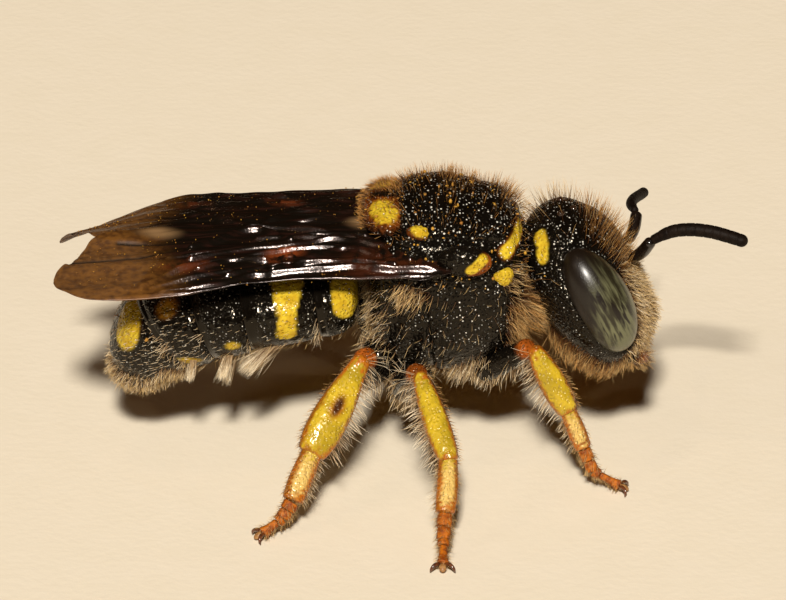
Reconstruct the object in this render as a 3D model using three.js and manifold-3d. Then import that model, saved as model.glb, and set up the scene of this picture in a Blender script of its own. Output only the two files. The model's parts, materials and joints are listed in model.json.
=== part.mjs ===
// A small carder bee, life size, standing on six legs with its wings folded over its back.
//
// Units are millimetres. +X points to the head, +Y to the bee's left and +Z up, and the floor is z = 0.
// The origin is on the floor, under the middle of the bee. Every body plate, wing and leg joint is a
// closed solid of its own, and neighbours keep GAP between them.
import * as THREE from "three";
import { mergeVertices } from "three/addons/utils/BufferGeometryUtils.js";
import Module from "manifold-3d";

const wasm = await Module();
wasm.setup();

const V = (x, y, z) => new THREE.Vector3(x, y, z);
const radians = THREE.MathUtils.degToRad;

// ---------------------------------------------------------------- driving dimensions

const GAP = 0.03; // left between neighbouring solids
const LIMB_SIDES = 8;
const CAP = { length: 0.45, width: 0.6 }; // of a limb's end, as shares of its radius
const COXA_RADIUS = 0.3;
const TROCHANTER_RADIUS = 0.23;
const KNEE_RADIUS = 0.25;

// Sections of the thorax from the neck to the waist: place along X, top, bottom, half width, squareness.
const THORAX = [
  { x: 1.72, top: 3.2, bottom: 2.4, halfWidth: 0.42, power: 2 },
  { x: 1.66, top: 3.55, bottom: 2.15, halfWidth: 0.8, power: 2.1 },
  { x: 1.42, top: 3.88, bottom: 1.74, halfWidth: 1.11, power: 2.2 },
  { x: 1.12, top: 3.98, bottom: 1.52, halfWidth: 1.23, power: 2.3 },
  { x: 0.75, top: 4.03, bottom: 1.37, halfWidth: 1.3, power: 2.3 },
  { x: 0.38, top: 4.03, bottom: 1.34, halfWidth: 1.31, power: 2.3 },
  { x: 0.02, top: 3.94, bottom: 1.4, halfWidth: 1.24, power: 2.3 },
  { x: -0.28, top: 3.72, bottom: 1.62, halfWidth: 1.05, power: 2.2 },
  { x: -0.44, top: 3.4, bottom: 1.95, halfWidth: 0.8, power: 2.1 },
  { x: -0.5, top: 3.0, bottom: 2.2, halfWidth: 0.45, power: 2 },
];
const THORAX_SIDES = 20;
const PRONOTUM_X = 1.4; // the collar lies in front of this plane
const PROPODEUM_X = -0.1; // and the propodeum behind this one

// The shield over the back of the thorax, which overhangs the propodeum.
const SCUTELLUM = {
  centre: V(-0.2, 0, 3.64),
  half: V(0.36, 0.86, 0.26),
  power: 2.5,
};

// Sections of the abdomen from the waist to the tip: place, fall of its axis in degrees, half sizes.
const ABDOMEN = [
  { x: -0.6, z: 2.5, fall: 0, halfHeight: 0.24, halfWidth: 0.44 },
  { x: -0.82, z: 2.5, fall: 1, halfHeight: 0.5, halfWidth: 0.88 },
  { x: -1.2, z: 2.47, fall: 3, halfHeight: 0.61, halfWidth: 1.1 },
  { x: -1.7, z: 2.41, fall: 5, halfHeight: 0.66, halfWidth: 1.18 },
  { x: -2.25, z: 2.31, fall: 9, halfHeight: 0.69, halfWidth: 1.18 },
  { x: -2.75, z: 2.17, fall: 17, halfHeight: 0.71, halfWidth: 1.1 },
  { x: -3.15, z: 1.97, fall: 30, halfHeight: 0.71, halfWidth: 0.97 },
  { x: -3.45, z: 1.66, fall: 48, halfHeight: 0.62, halfWidth: 0.78 },
  { x: -3.6, z: 1.28, fall: 68, halfHeight: 0.45, halfWidth: 0.54 },
  { x: -3.62, z: 0.98, fall: 80, halfHeight: 0.2, halfWidth: 0.25 },
];
const ABDOMEN_CUTS = [0, 0.22, 0.45, 0.585, 0.735, 0.885, 1]; // shares of its length, by segment
const ABDOMEN_SIDES = 20;
const RINGS_PER_SEGMENT = 3;

// The head is an ovoid whose face is tipped up by HEAD_PITCH.
const HEAD_CENTRE = V(2.53, 0, 2.49);
const HEAD_PITCH = radians(27);
const HEAD_HALF = V(0.72, 1.27, 1.2); // front to back, side to side, crown to jaw
const FACE_NORMAL = V(Math.cos(HEAD_PITCH), 0, Math.sin(HEAD_PITCH));
const CROWN = V(-Math.sin(HEAD_PITCH), 0, Math.cos(HEAD_PITCH));

const EYE = {
  forward: 0.2,
  up: 0.08,
  side: 0.86,
  half: V(0.41, 0.45, 0.82), // across, bulge, length
  turn: radians(16), // how far the eye looks forwards
};

// Places on the head are forward, side and up, counted from its centre.
const CLYPEUS = { centre: V(0.44, 0, -0.52), half: V(0.3, 0.6, 0.44), power: 2.3 };
const MANDIBLE = { base: V(0.2, 0.62, -0.95), tip: V(0.27, 0.14, -1.32), radius: 0.25 };

// Feelers: a scape from the face to an elbow, then a flagellum through a few points.
const FEELER_RADIUS = 0.235;
const FEELERS = {
  right: {
    base: V(3.16, -0.3, 3.03),
    elbow: V(3.4, -0.6, 3.42),
    flagellum: [
      V(3.44, -0.62, 3.43),
      V(3.66, -0.66, 3.57),
      V(3.91, -0.7, 3.62),
      V(4.18, -0.74, 3.61),
      V(4.42, -0.78, 3.56),
      V(4.7, -0.82, 3.48),
    ],
  },
  left: {
    base: V(3.16, 0.3, 3.03),
    elbow: V(3.19, 0.66, 3.3),
    flagellum: [
      V(3.2, 0.73, 3.32),
      V(3.23, 1.03, 3.32),
      V(3.25, 1.3, 3.26),
      V(3.27, 1.58, 3.17),
      V(3.29, 1.94, 3.02),
    ],
  },
};

const TEGULA = { centre: V(0.93, 1.24, 3.42), half: V(0.33, 0.22, 0.25) };

// Wings, as plates that slope away from the middle over the abdomen. Stations run from the root to
// the tip, and outer and inner are distances from the middle plane.
const WING_THICKNESS = 0.46;
const WING = {
  height: 3.2, // of the outer edge, at x = 0
  slope: 0.058, // how fast that edge falls towards the tip
  rise: 0.22, // how much higher the middle plane is
  halfSpan: 1.65,
};
const FOREWING = [
  { x: 0.66, outer: 1.5, inner: 1.2 },
  { x: 0.3, outer: 1.6, inner: 1.14 },
  { x: -0.3, outer: 1.5, inner: 0.98 },
  { x: -1.1, outer: 1.46, inner: 0.82 },
  { x: -2.0, outer: 1.5, inner: 0.66 },
  { x: -2.7, outer: 1.6, inner: 0.5 },
  { x: -3.12, outer: 1.65, inner: 0.38 },
  { x: -3.2, outer: 1.66, inner: 0.1 },
  { x: -3.8, outer: 1.66, inner: 0.1 },
  { x: -4.2, outer: 1.6, inner: 0.12 },
  { x: -4.5, outer: 1.42, inner: 0.3 },
  { x: -4.68, outer: 1.18, inner: 0.56 },
  { x: -4.75, outer: 1.0, inner: 0.78 },
];
const HINDWING = [
  { x: 0.1, outer: 1.08, inner: 0.98 },
  { x: -0.5, outer: 0.89, inner: 0.3 },
  { x: -0.8, outer: 0.84, inner: 0.06 },
  { x: -1.5, outer: 0.71, inner: 0.06 },
  { x: -2.2, outer: 0.58, inner: 0.06 },
  { x: -2.8, outer: 0.43, inner: 0.08 },
  { x: -3.1, outer: 0.34, inner: 0.16 },
];
const WING_POINTS_ACROSS = 4;
// The left wings lie higher than the right ones, and their tips droop outwards.
const LEFT_WING = { lift: 0.08, droopStart: -3.3, droop: 0.36 };

// Legs, by their joints: coxa root, trochanter, knee, ankle, end of the first tarsal joint, claws.
// The left legs mirror the right ones, apart from the joints that it names itself.
const LEGS = {
  fore: {
    right: {
      root: V(1.2, -0.42, 1.86),
      trochanter: V(1.05, -0.6, 1.42),
      knee: V(1.77, -1.15, 2.08),
      ankle: V(2.28, -1.3, 1.15),
      basitarsus: V(2.48, -1.35, 0.63),
      tarsus: V(2.61, -1.38, 0.31),
      claws: V(2.98, -1.42, 0.1),
    },
    left: {
      knee: V(1.7, 1.3, 1.98),
      ankle: V(2.12, 2.0, 1.1),
      basitarsus: V(2.28, 2.35, 0.62),
      tarsus: V(2.36, 2.55, 0.32),
      claws: V(2.62, 2.9, 0.1),
    },
    width: { femur: 0.25, tibia: 0.25, basitarsus: 0.22, tarsus: 0.2 },
  },
  middle: {
    right: {
      root: V(0.22, -0.5, 1.62),
      trochanter: V(0.0, -0.8, 1.2),
      knee: V(0.21, -1.75, 1.98),
      ankle: V(0.64, -2.75, 1.07),
      basitarsus: V(0.57, -3.25, 0.54),
      tarsus: V(0.55, -3.55, 0.3),
      claws: V(0.54, -3.9, 0.1),
    },
    left: {},
    width: { femur: 0.25, tibia: 0.26, basitarsus: 0.22, tarsus: 0.2 },
  },
  hind: {
    right: {
      root: V(-0.24, -0.42, 1.86),
      trochanter: V(-0.42, -0.78, 1.38),
      knee: V(-0.52, -1.5, 2.1),
      ankle: V(-1.26, -2.35, 0.99),
      basitarsus: V(-1.5, -2.75, 0.49),
      tarsus: V(-1.63, -2.84, 0.29),
      claws: V(-1.9, -2.93, 0.1),
    },
    left: {
      ankle: V(-1.2, 2.7, 1.0),
      basitarsus: V(-1.45, 3.2, 0.49),
      tarsus: V(-1.6, 3.4, 0.29),
      claws: V(-1.85, 3.6, 0.1),
    },
    width: { femur: 0.26, tibia: 0.29, basitarsus: 0.23, tarsus: 0.2 },
  },
};

// ---------------------------------------------------------------- finishes

const finish = (color, roughness) =>
  new THREE.MeshStandardMaterial({ color, roughness, metalness: 0 });
const FINISHES = {
  blackShell: finish(0x14110e, 0.35),
  yellowShell: finish(0xe3b81c, 0.4),
  amberShell: finish(0xb5601a, 0.4),
  feeler: finish(0x17110e, 0.55),
  eye: finish(0x4d5449, 0.15),
  wing: finish(0x35211a, 0.3),
};

// ---------------------------------------------------------------- shaping

// Closed mesh through rings of points that share one count, with a fan over each end.
function loft(rings) {
  const count = rings[0].length;
  const points = rings.flat();
  const faces = [];
  for (let r = 0; r + 1 < rings.length; r++)
    for (let i = 0; i < count; i++) {
      const a = r * count + i;
      const b = r * count + ((i + 1) % count);
      faces.push(a, b, a + count, b, b + count, a + count);
    }
  for (const [first, flip] of [
    [0, true],
    [(rings.length - 1) * count, false],
  ]) {
    const middle = points.length;
    const ring = points.slice(first, first + count);
    points.push(ring.reduce((sum, p) => sum.add(p), V(0, 0, 0)).divideScalar(count));
    for (let i = 0; i < count; i++) {
      const a = first + i;
      const b = first + ((i + 1) % count);
      faces.push(...(flip ? [b, a, middle] : [a, b, middle]));
    }
  }
  const geometry = new THREE.BufferGeometry().setFromPoints(points);
  geometry.setIndex(faces);
  return geometry;
}

const signedPower = (value, power) => Math.sign(value) * Math.abs(value) ** power;

// Ring of points round a centre: an ellipse where power is 2, squarer above it.
function oval(centre, across, up, halfAcross, halfUp, power, sides) {
  return Array.from({ length: sides }, (_, i) => {
    const angle = (i / sides) * 2 * Math.PI;
    return centre
      .clone()
      .addScaledVector(across, halfAcross * signedPower(Math.cos(angle), 2 / power))
      .addScaledVector(up, halfUp * signedPower(Math.sin(angle), 2 / power));
  });
}

// Ovoid about a centre with its own three axes; grow widens it all round.
function ovoid(centre, axes, half, power, sides, grow = 0) {
  const levels = Math.round(sides / 2);
  const rings = [];
  for (let i = 1; i < levels; i++) {
    const angle = (i / levels) * Math.PI;
    const along = signedPower(Math.cos(angle), 2 / power) * (half.x + grow);
    const share = signedPower(Math.sin(angle), 2 / power);
    rings.push(
      oval(
        centre.clone().addScaledVector(axes[0], along),
        axes[1],
        axes[2],
        share * (half.y + grow),
        share * (half.z + grow),
        power,
        sides,
      ),
    );
  }
  return loft(rings.reverse());
}

// Rounded limb through points, with a radius at each and a short blunt cap beyond each end.
function limb(points, radii) {
  const rings = [];
  const last = points.length - 1;
  for (let i = 0; i <= last; i++) {
    const before = points[Math.max(i - 1, 0)];
    const after = points[Math.min(i + 1, last)];
    const along = after.clone().sub(before).normalize();
    const across = V(0, 0, 1).cross(along);
    if (across.length() < 0.05) across.set(0, 1, 0);
    across.normalize();
    const up = along.clone().cross(across).normalize();
    const ring = (shift, share) =>
      oval(
        points[i].clone().addScaledVector(along, shift),
        across,
        up,
        radii[i] * share,
        radii[i] * share,
        2,
        LIMB_SIDES,
      );
    if (i === 0) rings.push(ring(-CAP.length * radii[i], CAP.width));
    rings.push(ring(0, 1));
    if (i === last) rings.push(ring(CAP.length * radii[i], CAP.width));
  }
  return loft(rings);
}

// A point between two others.
const between = (a, b, share) => a.clone().lerp(b, share);

// The direction halfway between two neighbouring stretches of a limb.
const bend = (a, b, c) =>
  b.clone().sub(a).normalize().add(c.clone().sub(b).normalize()).normalize();

// ---------------------------------------------------------------- joining and cutting

function solidOf(geometry) {
  const bare = geometry.clone();
  bare.deleteAttribute("normal");
  bare.deleteAttribute("uv");
  const merged = mergeVertices(bare, 1e-5);
  const solid = new wasm.Manifold(
    new wasm.Mesh({
      numProp: 3,
      vertProperties: merged.attributes.position.array,
      triVerts: new Uint32Array(merged.index.array),
    }),
  );
  if (solid.volume() < 0) throw new Error("a solid is inside out");
  return solid;
}

function geometryOf(solid) {
  const mesh = solid.getMesh();
  const geometry = new THREE.BufferGeometry();
  geometry.setAttribute("position", new THREE.BufferAttribute(mesh.vertProperties, 3));
  geometry.setIndex(new THREE.BufferAttribute(mesh.triVerts, 1));
  geometry.computeVertexNormals();
  return geometry;
}

const subtractAll = (solid, cutters) => cutters.reduce((left, c) => left.subtract(c), solid);

// The largest body of a cut solid; slivers that a cut leaves beside it are dropped.
function mainBody(solid) {
  const bodies = solid.decompose();
  return bodies.reduce((a, b) => (a.volume() > b.volume() ? a : b));
}

// A box-shaped solid between two corners.
function block(low, high) {
  const size = high.clone().sub(low);
  const geometry = new THREE.BoxGeometry(size.x, size.y, size.z);
  geometry.translate((low.x + high.x) / 2, (low.y + high.y) / 2, (low.z + high.z) / 2);
  return solidOf(geometry);
}

const FAR = 20;

// All the space on the side of a point that its direction looks to, beginning half a gap away.
function halfSpace(point, direction) {
  const geometry = new THREE.BoxGeometry(FAR, FAR, FAR);
  geometry.translate(0, 0, FAR / 2 + GAP / 2);
  geometry.applyQuaternion(new THREE.Quaternion().setFromUnitVectors(V(0, 0, 1), direction));
  geometry.translate(point.x, point.y, point.z);
  return solidOf(geometry);
}

const FLOOR = block(V(-FAR, -FAR, -FAR), V(FAR, FAR, 0));

// ---------------------------------------------------------------- the bee

const bee = new THREE.Group();

function addPart(name, solid, material) {
  const mesh = new THREE.Mesh(geometryOf(mainBody(solid)), material);
  mesh.name = name;
  bee.add(mesh);
}

const SIDES = { right: -1, left: 1 };
const mirrored = (point, side) => V(point.x, Math.abs(point.y) * side, point.z);

function thoraxSolid(grow = 0) {
  const rings = THORAX.map((s, i) => {
    const endShift = i === 0 ? grow : i === THORAX.length - 1 ? -grow : 0;
    return oval(
      V(s.x + endShift, 0, (s.top + s.bottom) / 2),
      V(0, 1, 0),
      V(0, 0, 1),
      s.halfWidth + grow,
      (s.top - s.bottom) / 2 + grow,
      s.power,
      THORAX_SIDES,
    );
  });
  return solidOf(loft(rings.reverse()));
}

const WORLD_AXES = [V(1, 0, 0), V(0, 1, 0), V(0, 0, 1)];

const scutellumSolid = (grow = 0) =>
  solidOf(ovoid(SCUTELLUM.centre, WORLD_AXES, SCUTELLUM.half, SCUTELLUM.power, 16, grow));

const tegulaSolid = (side, grow = 0) =>
  solidOf(ovoid(mirrored(TEGULA.centre, side), WORLD_AXES, TEGULA.half, 2, 10, grow));

function addThorax() {
  const cutters = [scutellumSolid(GAP), ...Object.values(SIDES).map((s) => tegulaSolid(s, GAP))];
  const whole = subtractAll(thoraxSolid(), cutters);
  const slice = (from, to) => block(V(from, -FAR, -FAR), V(to, FAR, FAR)).intersect(whole);
  addPart("pronotum", slice(PRONOTUM_X + GAP / 2, FAR), FINISHES.blackShell);
  addPart("thorax", slice(PROPODEUM_X + GAP / 2, PRONOTUM_X - GAP / 2), FINISHES.blackShell);
  addPart("propodeum", slice(-FAR, PROPODEUM_X - GAP / 2), FINISHES.blackShell);
  addPart("scutellum", scutellumSolid(), FINISHES.blackShell);
  for (const [name, side] of Object.entries(SIDES))
    addPart("tegula_" + name, tegulaSolid(side), FINISHES.blackShell);
}

// Ring of the abdomen at a share of its length, by smooth curves through the sections.
const abdomenPath = new THREE.CatmullRomCurve3(
  ABDOMEN.map((s) => V(s.x, 0, s.z)),
  false,
  "catmullrom",
  0.5,
);
const abdomenSizes = new THREE.CatmullRomCurve3(
  ABDOMEN.map((s) => V(s.fall, s.halfHeight, s.halfWidth)),
  false,
  "catmullrom",
  0.5,
);

function abdomenRing(share) {
  const sizes = abdomenSizes.getPoint(share);
  const fall = radians(sizes.x);
  const up = V(-Math.sin(fall), 0, Math.cos(fall));
  return oval(
    abdomenPath.getPoint(share),
    V(0, 1, 0),
    up,
    sizes.z,
    sizes.y,
    2,
    ABDOMEN_SIDES,
  );
}

function addAbdomen() {
  const half = GAP / 2 / abdomenPath.getLength();
  for (let k = 0; k + 1 < ABDOMEN_CUTS.length; k++) {
    const from = ABDOMEN_CUTS[k] + (k > 0 ? half : 0);
    const to = ABDOMEN_CUTS[k + 1] - (k + 2 < ABDOMEN_CUTS.length ? half : 0);
    const rings = [];
    for (let i = 0; i <= RINGS_PER_SEGMENT; i++)
      rings.unshift(abdomenRing(from + ((to - from) * i) / RINGS_PER_SEGMENT));
    addPart("abdomen_" + (k + 1), solidOf(loft(rings)), FINISHES.blackShell);
  }
}

// A place on the head, from its centre: forward along the face's normal, to the side, and up the face.
const onHead = (forward, side, up) =>
  HEAD_CENTRE.clone()
    .addScaledVector(FACE_NORMAL, forward)
    .addScaledVector(CROWN, up)
    .add(V(0, side, 0));

const headSolid = (grow = 0) =>
  solidOf(ovoid(HEAD_CENTRE, [FACE_NORMAL, V(0, 1, 0), CROWN], HEAD_HALF, 2.15, 18, grow));

function eyeSolid(side, grow = 0) {
  const turn = EYE.turn * -side;
  const bulge = V(0, side, 0).applyAxisAngle(CROWN, turn);
  const across = bulge.clone().cross(CROWN).multiplyScalar(side);
  const centre = onHead(EYE.forward, side * EYE.side, EYE.up);
  // loft rings need a right-handed set of axes
  const axes = [across, CROWN.clone().cross(across), CROWN];
  return solidOf(ovoid(centre, axes, EYE.half, 2, 14, grow));
}

const mandibleSolid = (side, grow = 0) => {
  const place = (p) => onHead(p.x, side * p.y, p.z);
  const base = place(MANDIBLE.base);
  const tip = place(MANDIBLE.tip);
  const middle = between(base, tip, 0.5).addScaledVector(FACE_NORMAL, 0.08);
  const radius = MANDIBLE.radius + grow;
  return solidOf(limb([base, middle, tip], [radius, radius * 0.95, radius * 0.6]));
};

const clypeusSolid = (grow = 0) =>
  solidOf(
    ovoid(
      onHead(CLYPEUS.centre.x, 0, CLYPEUS.centre.z),
      [FACE_NORMAL, V(0, 1, 0), CROWN],
      CLYPEUS.half,
      CLYPEUS.power,
      16,
      grow,
    ),
  );

function addHead() {
  const sides = Object.values(SIDES);
  const mandibles = sides.map((s) => mandibleSolid(s, GAP));
  const eyes = sides.map((s) => eyeSolid(s, GAP));
  addPart(
    "head",
    subtractAll(headSolid(), [...eyes, ...mandibles, clypeusSolid(GAP), thoraxSolid(GAP)]),
    FINISHES.blackShell,
  );
  addPart("clypeus", subtractAll(clypeusSolid(), mandibles), FINISHES.blackShell);
  for (const [name, side] of Object.entries(SIDES)) {
    addPart("eye_" + name, eyeSolid(side), FINISHES.eye);
    const otherSide = halfSpace(V(0, side * GAP, 0), V(0, -side, 0));
    addPart("mandible_" + name, mandibleSolid(side).subtract(otherSide), FINISHES.amberShell);
  }
}

function addFeelers() {
  const head = headSolid(GAP);
  for (const [name, f] of Object.entries(FEELERS)) {
    const scape = limb([f.base, f.elbow], [FEELER_RADIUS, FEELER_RADIUS]);
    const flagellum = limb(f.flagellum, f.flagellum.map(() => FEELER_RADIUS));
    const along = bend(f.base, f.elbow, f.flagellum[1]);
    const beyond = halfSpace(f.elbow, along);
    const before = halfSpace(f.elbow, along.clone().negate());
    addPart("scape_" + name, subtractAll(solidOf(scape), [head, beyond]), FINISHES.feeler);
    addPart("flagellum_" + name, subtractAll(solidOf(flagellum), [head, before]), FINISHES.feeler);
  }
}

// Height of a wing's middle surface at a place, with y counted outwards.
function wingHeight(x, y, name) {
  const reach = y / WING.halfSpan;
  const height = WING.height + WING.slope * x + WING.rise * (1 - reach ** 2);
  if (name === "right") return height;
  const past = Math.max(0, LEFT_WING.droopStart - x);
  return height + LEFT_WING.lift - LEFT_WING.droop * past * reach;
}

// A wing plate: one ring of points per station, WING_POINTS_ACROSS along the top and as many below.
function wingSolid(stations, name) {
  const side = SIDES[name];
  const rings = stations.map((s) => {
    const row = (lift) =>
      Array.from({ length: WING_POINTS_ACROSS }, (_, i) => {
        const y = THREE.MathUtils.lerp(s.inner, s.outer, i / (WING_POINTS_ACROSS - 1));
        return V(s.x, side * y, wingHeight(s.x, y, name) + lift);
      });
    const top = row(WING_THICKNESS / 2);
    const under = row(-WING_THICKNESS / 2).reverse();
    return [...top, ...under];
  });
  return solidOf(loft(side > 0 ? rings : rings.reverse()));
}

function addWings() {
  for (const [name, side] of Object.entries(SIDES)) {
    const cutters = [thoraxSolid(GAP), scutellumSolid(GAP), tegulaSolid(side, GAP)];
    addPart("forewing_" + name, subtractAll(wingSolid(FOREWING, name), cutters), FINISHES.wing);
    addPart("hindwing_" + name, subtractAll(wingSolid(HINDWING, name), cutters), FINISHES.wing);
  }
}

// Every joint of one leg, with the left leg's taken from the right one's where it names none.
function jointsOf(leg, name) {
  const own = name === "right" ? {} : leg.left;
  const joints = {};
  for (const [key, point] of Object.entries(leg.right))
    joints[key] = own[key] ?? mirrored(point, SIDES[name]);
  return joints;
}

// A leg is cut into its segments where they bend, and its coxa and femur clear the thorax and
// whatever was made before them.
function addLeg(kind, name) {
  const leg = LEGS[kind];
  const j = jointsOf(leg, name);
  const w = leg.width;
  const segments = [
    {
      part: "coxa",
      path: [j.root, j.trochanter],
      radii: [COXA_RADIUS, COXA_RADIUS * 0.9],
      finish: FINISHES.blackShell,
    },
    {
      part: "femur",
      path: [j.trochanter, between(j.trochanter, j.knee, 0.5), j.knee],
      radii: [TROCHANTER_RADIUS, w.femur, KNEE_RADIUS],
      finish: FINISHES.blackShell,
    },
    {
      part: "tibia",
      path: [j.knee, between(j.knee, j.ankle, 0.3), between(j.knee, j.ankle, 0.7), j.ankle],
      radii: [KNEE_RADIUS, w.tibia, w.tibia, KNEE_RADIUS],
      finish: FINISHES.yellowShell,
    },
    {
      part: "basitarsus",
      path: [j.ankle, j.basitarsus],
      radii: [w.basitarsus, w.basitarsus * 0.95],
      finish: FINISHES.yellowShell,
    },
    {
      part: "tarsus",
      path: [j.basitarsus, j.tarsus, j.claws],
      radii: [w.tarsus, w.tarsus, w.tarsus],
      finish: FINISHES.amberShell,
    },
  ];
  segments.forEach(({ part, path, radii, finish }, i) => {
    const cutters = [FLOOR];
    const before = segments[i - 1]?.path;
    const after = segments[i + 1]?.path;
    const last = path.length - 1;
    if (before) cutters.push(halfSpace(path[0], bend(before.at(-2), path[0], path[1]).negate()));
    if (after) cutters.push(halfSpace(path[last], bend(path[last - 1], path[last], after[1])));
    if (i < 2) cutters.push(thoraxSolid(GAP), ...claimed);
    addPart([kind, part, name].join("_"), subtractAll(solidOf(limb(path, radii)), cutters), finish);
    if (i < 2) claimed.push(solidOf(limb(path, radii.map((r) => r + GAP))));
  });
}

// The roots of the legs crowd together under the thorax: these are the places already taken.
const claimed = [];

addThorax();
addAbdomen();
addHead();
addFeelers();
addWings();
for (const kind of Object.keys(LEGS)) for (const name of Object.keys(SIDES)) addLeg(kind, name);

export default bee;
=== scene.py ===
"""A small female carder bee, life size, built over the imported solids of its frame.

Each body plate, eye, wing and leg joint is a closed form shaped in millimetres and written in metres.
The black shell is pitted in its mesh, the marks are painted by rule in each plate's own places, and the
coat is joined meshes of thin tapered hairs.
"""

from __future__ import annotations

import json
import logging
import math
from collections.abc import Callable
from dataclasses import dataclass, field
from enum import Enum
from functools import partial

import bpy
import numpy as np
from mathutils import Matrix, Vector
from mathutils.kdtree import KDTree

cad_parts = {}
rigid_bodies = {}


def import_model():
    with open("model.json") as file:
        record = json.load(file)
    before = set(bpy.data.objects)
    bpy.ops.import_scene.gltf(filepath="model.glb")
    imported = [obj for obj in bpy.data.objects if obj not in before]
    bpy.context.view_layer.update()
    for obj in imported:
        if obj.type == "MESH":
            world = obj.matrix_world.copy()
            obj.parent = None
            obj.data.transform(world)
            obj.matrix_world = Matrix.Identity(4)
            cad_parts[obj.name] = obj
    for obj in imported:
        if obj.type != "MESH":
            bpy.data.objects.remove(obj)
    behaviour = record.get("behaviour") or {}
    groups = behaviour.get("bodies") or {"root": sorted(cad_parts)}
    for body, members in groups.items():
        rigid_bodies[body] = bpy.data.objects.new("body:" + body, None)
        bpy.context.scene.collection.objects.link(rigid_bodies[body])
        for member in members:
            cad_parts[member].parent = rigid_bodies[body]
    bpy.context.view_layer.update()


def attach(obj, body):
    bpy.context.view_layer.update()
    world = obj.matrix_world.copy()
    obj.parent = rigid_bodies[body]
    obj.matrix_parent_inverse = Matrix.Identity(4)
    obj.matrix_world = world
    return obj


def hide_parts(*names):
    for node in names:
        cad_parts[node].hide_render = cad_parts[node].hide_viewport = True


log = logging.getLogger("bee")

MM = 0.001
SIDES = {"right": -1.0, "left": 1.0}
BODY = "root"
TURN = 2 * math.pi

Array = np.ndarray
Point = tuple[float, float, float]
Section = tuple[float, float, float, float]
Span = tuple[float, float]
Colour = tuple[float, float, float]
Where = Callable[[Array, Array, Array], Array]
Thing = bpy.types.Object
Material = bpy.types.Material
Socket = bpy.types.NodeSocket


# ---- number helpers


def unit(vectors: Array) -> Array:
    """Vectors scaled to length one."""
    return vectors / np.maximum(np.linalg.norm(vectors, axis=-1, keepdims=True), 1e-12)


def ease(low: float, high: float, x: Array) -> Array:
    """Smooth rise from 0 at low to 1 at high."""
    t = np.clip((x - low) / (high - low), 0.0, 1.0)
    return t * t * (3.0 - 2.0 * t)


def through(values: Array, share: Array) -> Array:
    """Smooth curve through evenly spaced values.

    Args:
        values: one number or point for each knot.
        share: places along the curve, from 0 to 1.

    Returns:
        A number or point for each place.
    """
    values = np.asarray(values, float)
    slopes = np.gradient(values, axis=0)
    place = np.clip(share, 0.0, 1.0) * (len(values) - 1)
    i = np.minimum(place.astype(int), len(values) - 2)
    s = place - i
    if values.ndim > 1:
        s = s[..., None]
    return (
        (2 * s**3 - 3 * s**2 + 1) * values[i]
        + (s**3 - 2 * s**2 + s) * slopes[i]
        + (3 * s**2 - 2 * s**3) * values[i + 1]
        + (s**3 - s**2) * slopes[i + 1]
    )


def ripple(points: Array, size: float, seed: int) -> Array:
    """Soft random waves of about one size, from about -1 to 1, at points in space."""
    count, gain = 7, 1.6
    rng = np.random.default_rng(seed)
    ways = unit(rng.normal(size=(count, 3))) * rng.uniform(0.6, 1.5, (count, 1)) * 2 * math.pi / size
    return np.sin(points @ ways.T + rng.uniform(0, TURN, count)).mean(axis=-1) * gain


def mirror(point: Point, side: float) -> Array:
    """A point given for the right side, set on either side."""
    return np.array([point[0], abs(point[1]) * side, point[2]])


def mirrored(line: tuple[Point, ...], side: float) -> list[Array]:
    """A line of such points, set on either side."""
    return [mirror(point, side) for point in line]


def summed(steps: Array) -> Array:
    """Running length along a line, from 0, for the lengths of its steps."""
    return np.concatenate([[0], np.cumsum(steps)])


# ---- forms


class Form:
    """A closed surface with places u, from one pole to the other, and angle, around."""

    def at(self, u: Array, angle: Array) -> Array:
        """Points of the surface, in millimetres."""
        raise NotImplementedError

    def normal(self, u: Array, angle: Array) -> Array:
        """Outward directions at places of the surface, from small steps along and around it."""
        step = 2e-3
        u = np.clip(u, step, 1 - step)
        along = self.at(u + step, angle) - self.at(u - step, angle)
        around = self.at(u, angle + step) - self.at(u, angle - step)
        return unit(np.cross(along, around))

    def scatter(self, spacing: float, rng: np.random.Generator, jitter: float = 0.35) -> tuple[Array, Array]:
        """Places spread evenly over the surface.

        Args:
            spacing: distance between neighbours.
            rng: source of the jitter.
            jitter: how far each place may stray, as a share of the spacing.

        Returns:
            The places' u and angle.
        """
        us = np.linspace(0, 1, 200)
        turns = np.linspace(0, TURN, 97)
        grid = self.at(us[:, None], turns[None, :])
        length = summed(np.linalg.norm(np.diff(grid[:, ::8], axis=0), axis=-1).max(axis=1))
        rows = np.interp(np.arange(spacing / 2, length[-1], spacing * 0.87), length, us)
        found_u, found_a = [], []
        for row, u in enumerate(rows):
            ring = self.at(np.full(len(turns), u), turns)
            girth = summed(np.linalg.norm(np.diff(ring, axis=0), axis=-1))
            count = max(1, round(girth[-1] / spacing))
            steps = (np.arange(count) + 0.5 * (row % 2) + rng.uniform(-jitter, jitter, count)) / count
            found_a.append(np.interp(steps % 1.0 * girth[-1], girth, turns))
            stray = rng.uniform(-jitter, jitter, count) * spacing / length[-1]
            found_u.append(np.clip(u + stray, 0.001, 0.999))
        return np.concatenate(found_u), np.concatenate(found_a)


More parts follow.
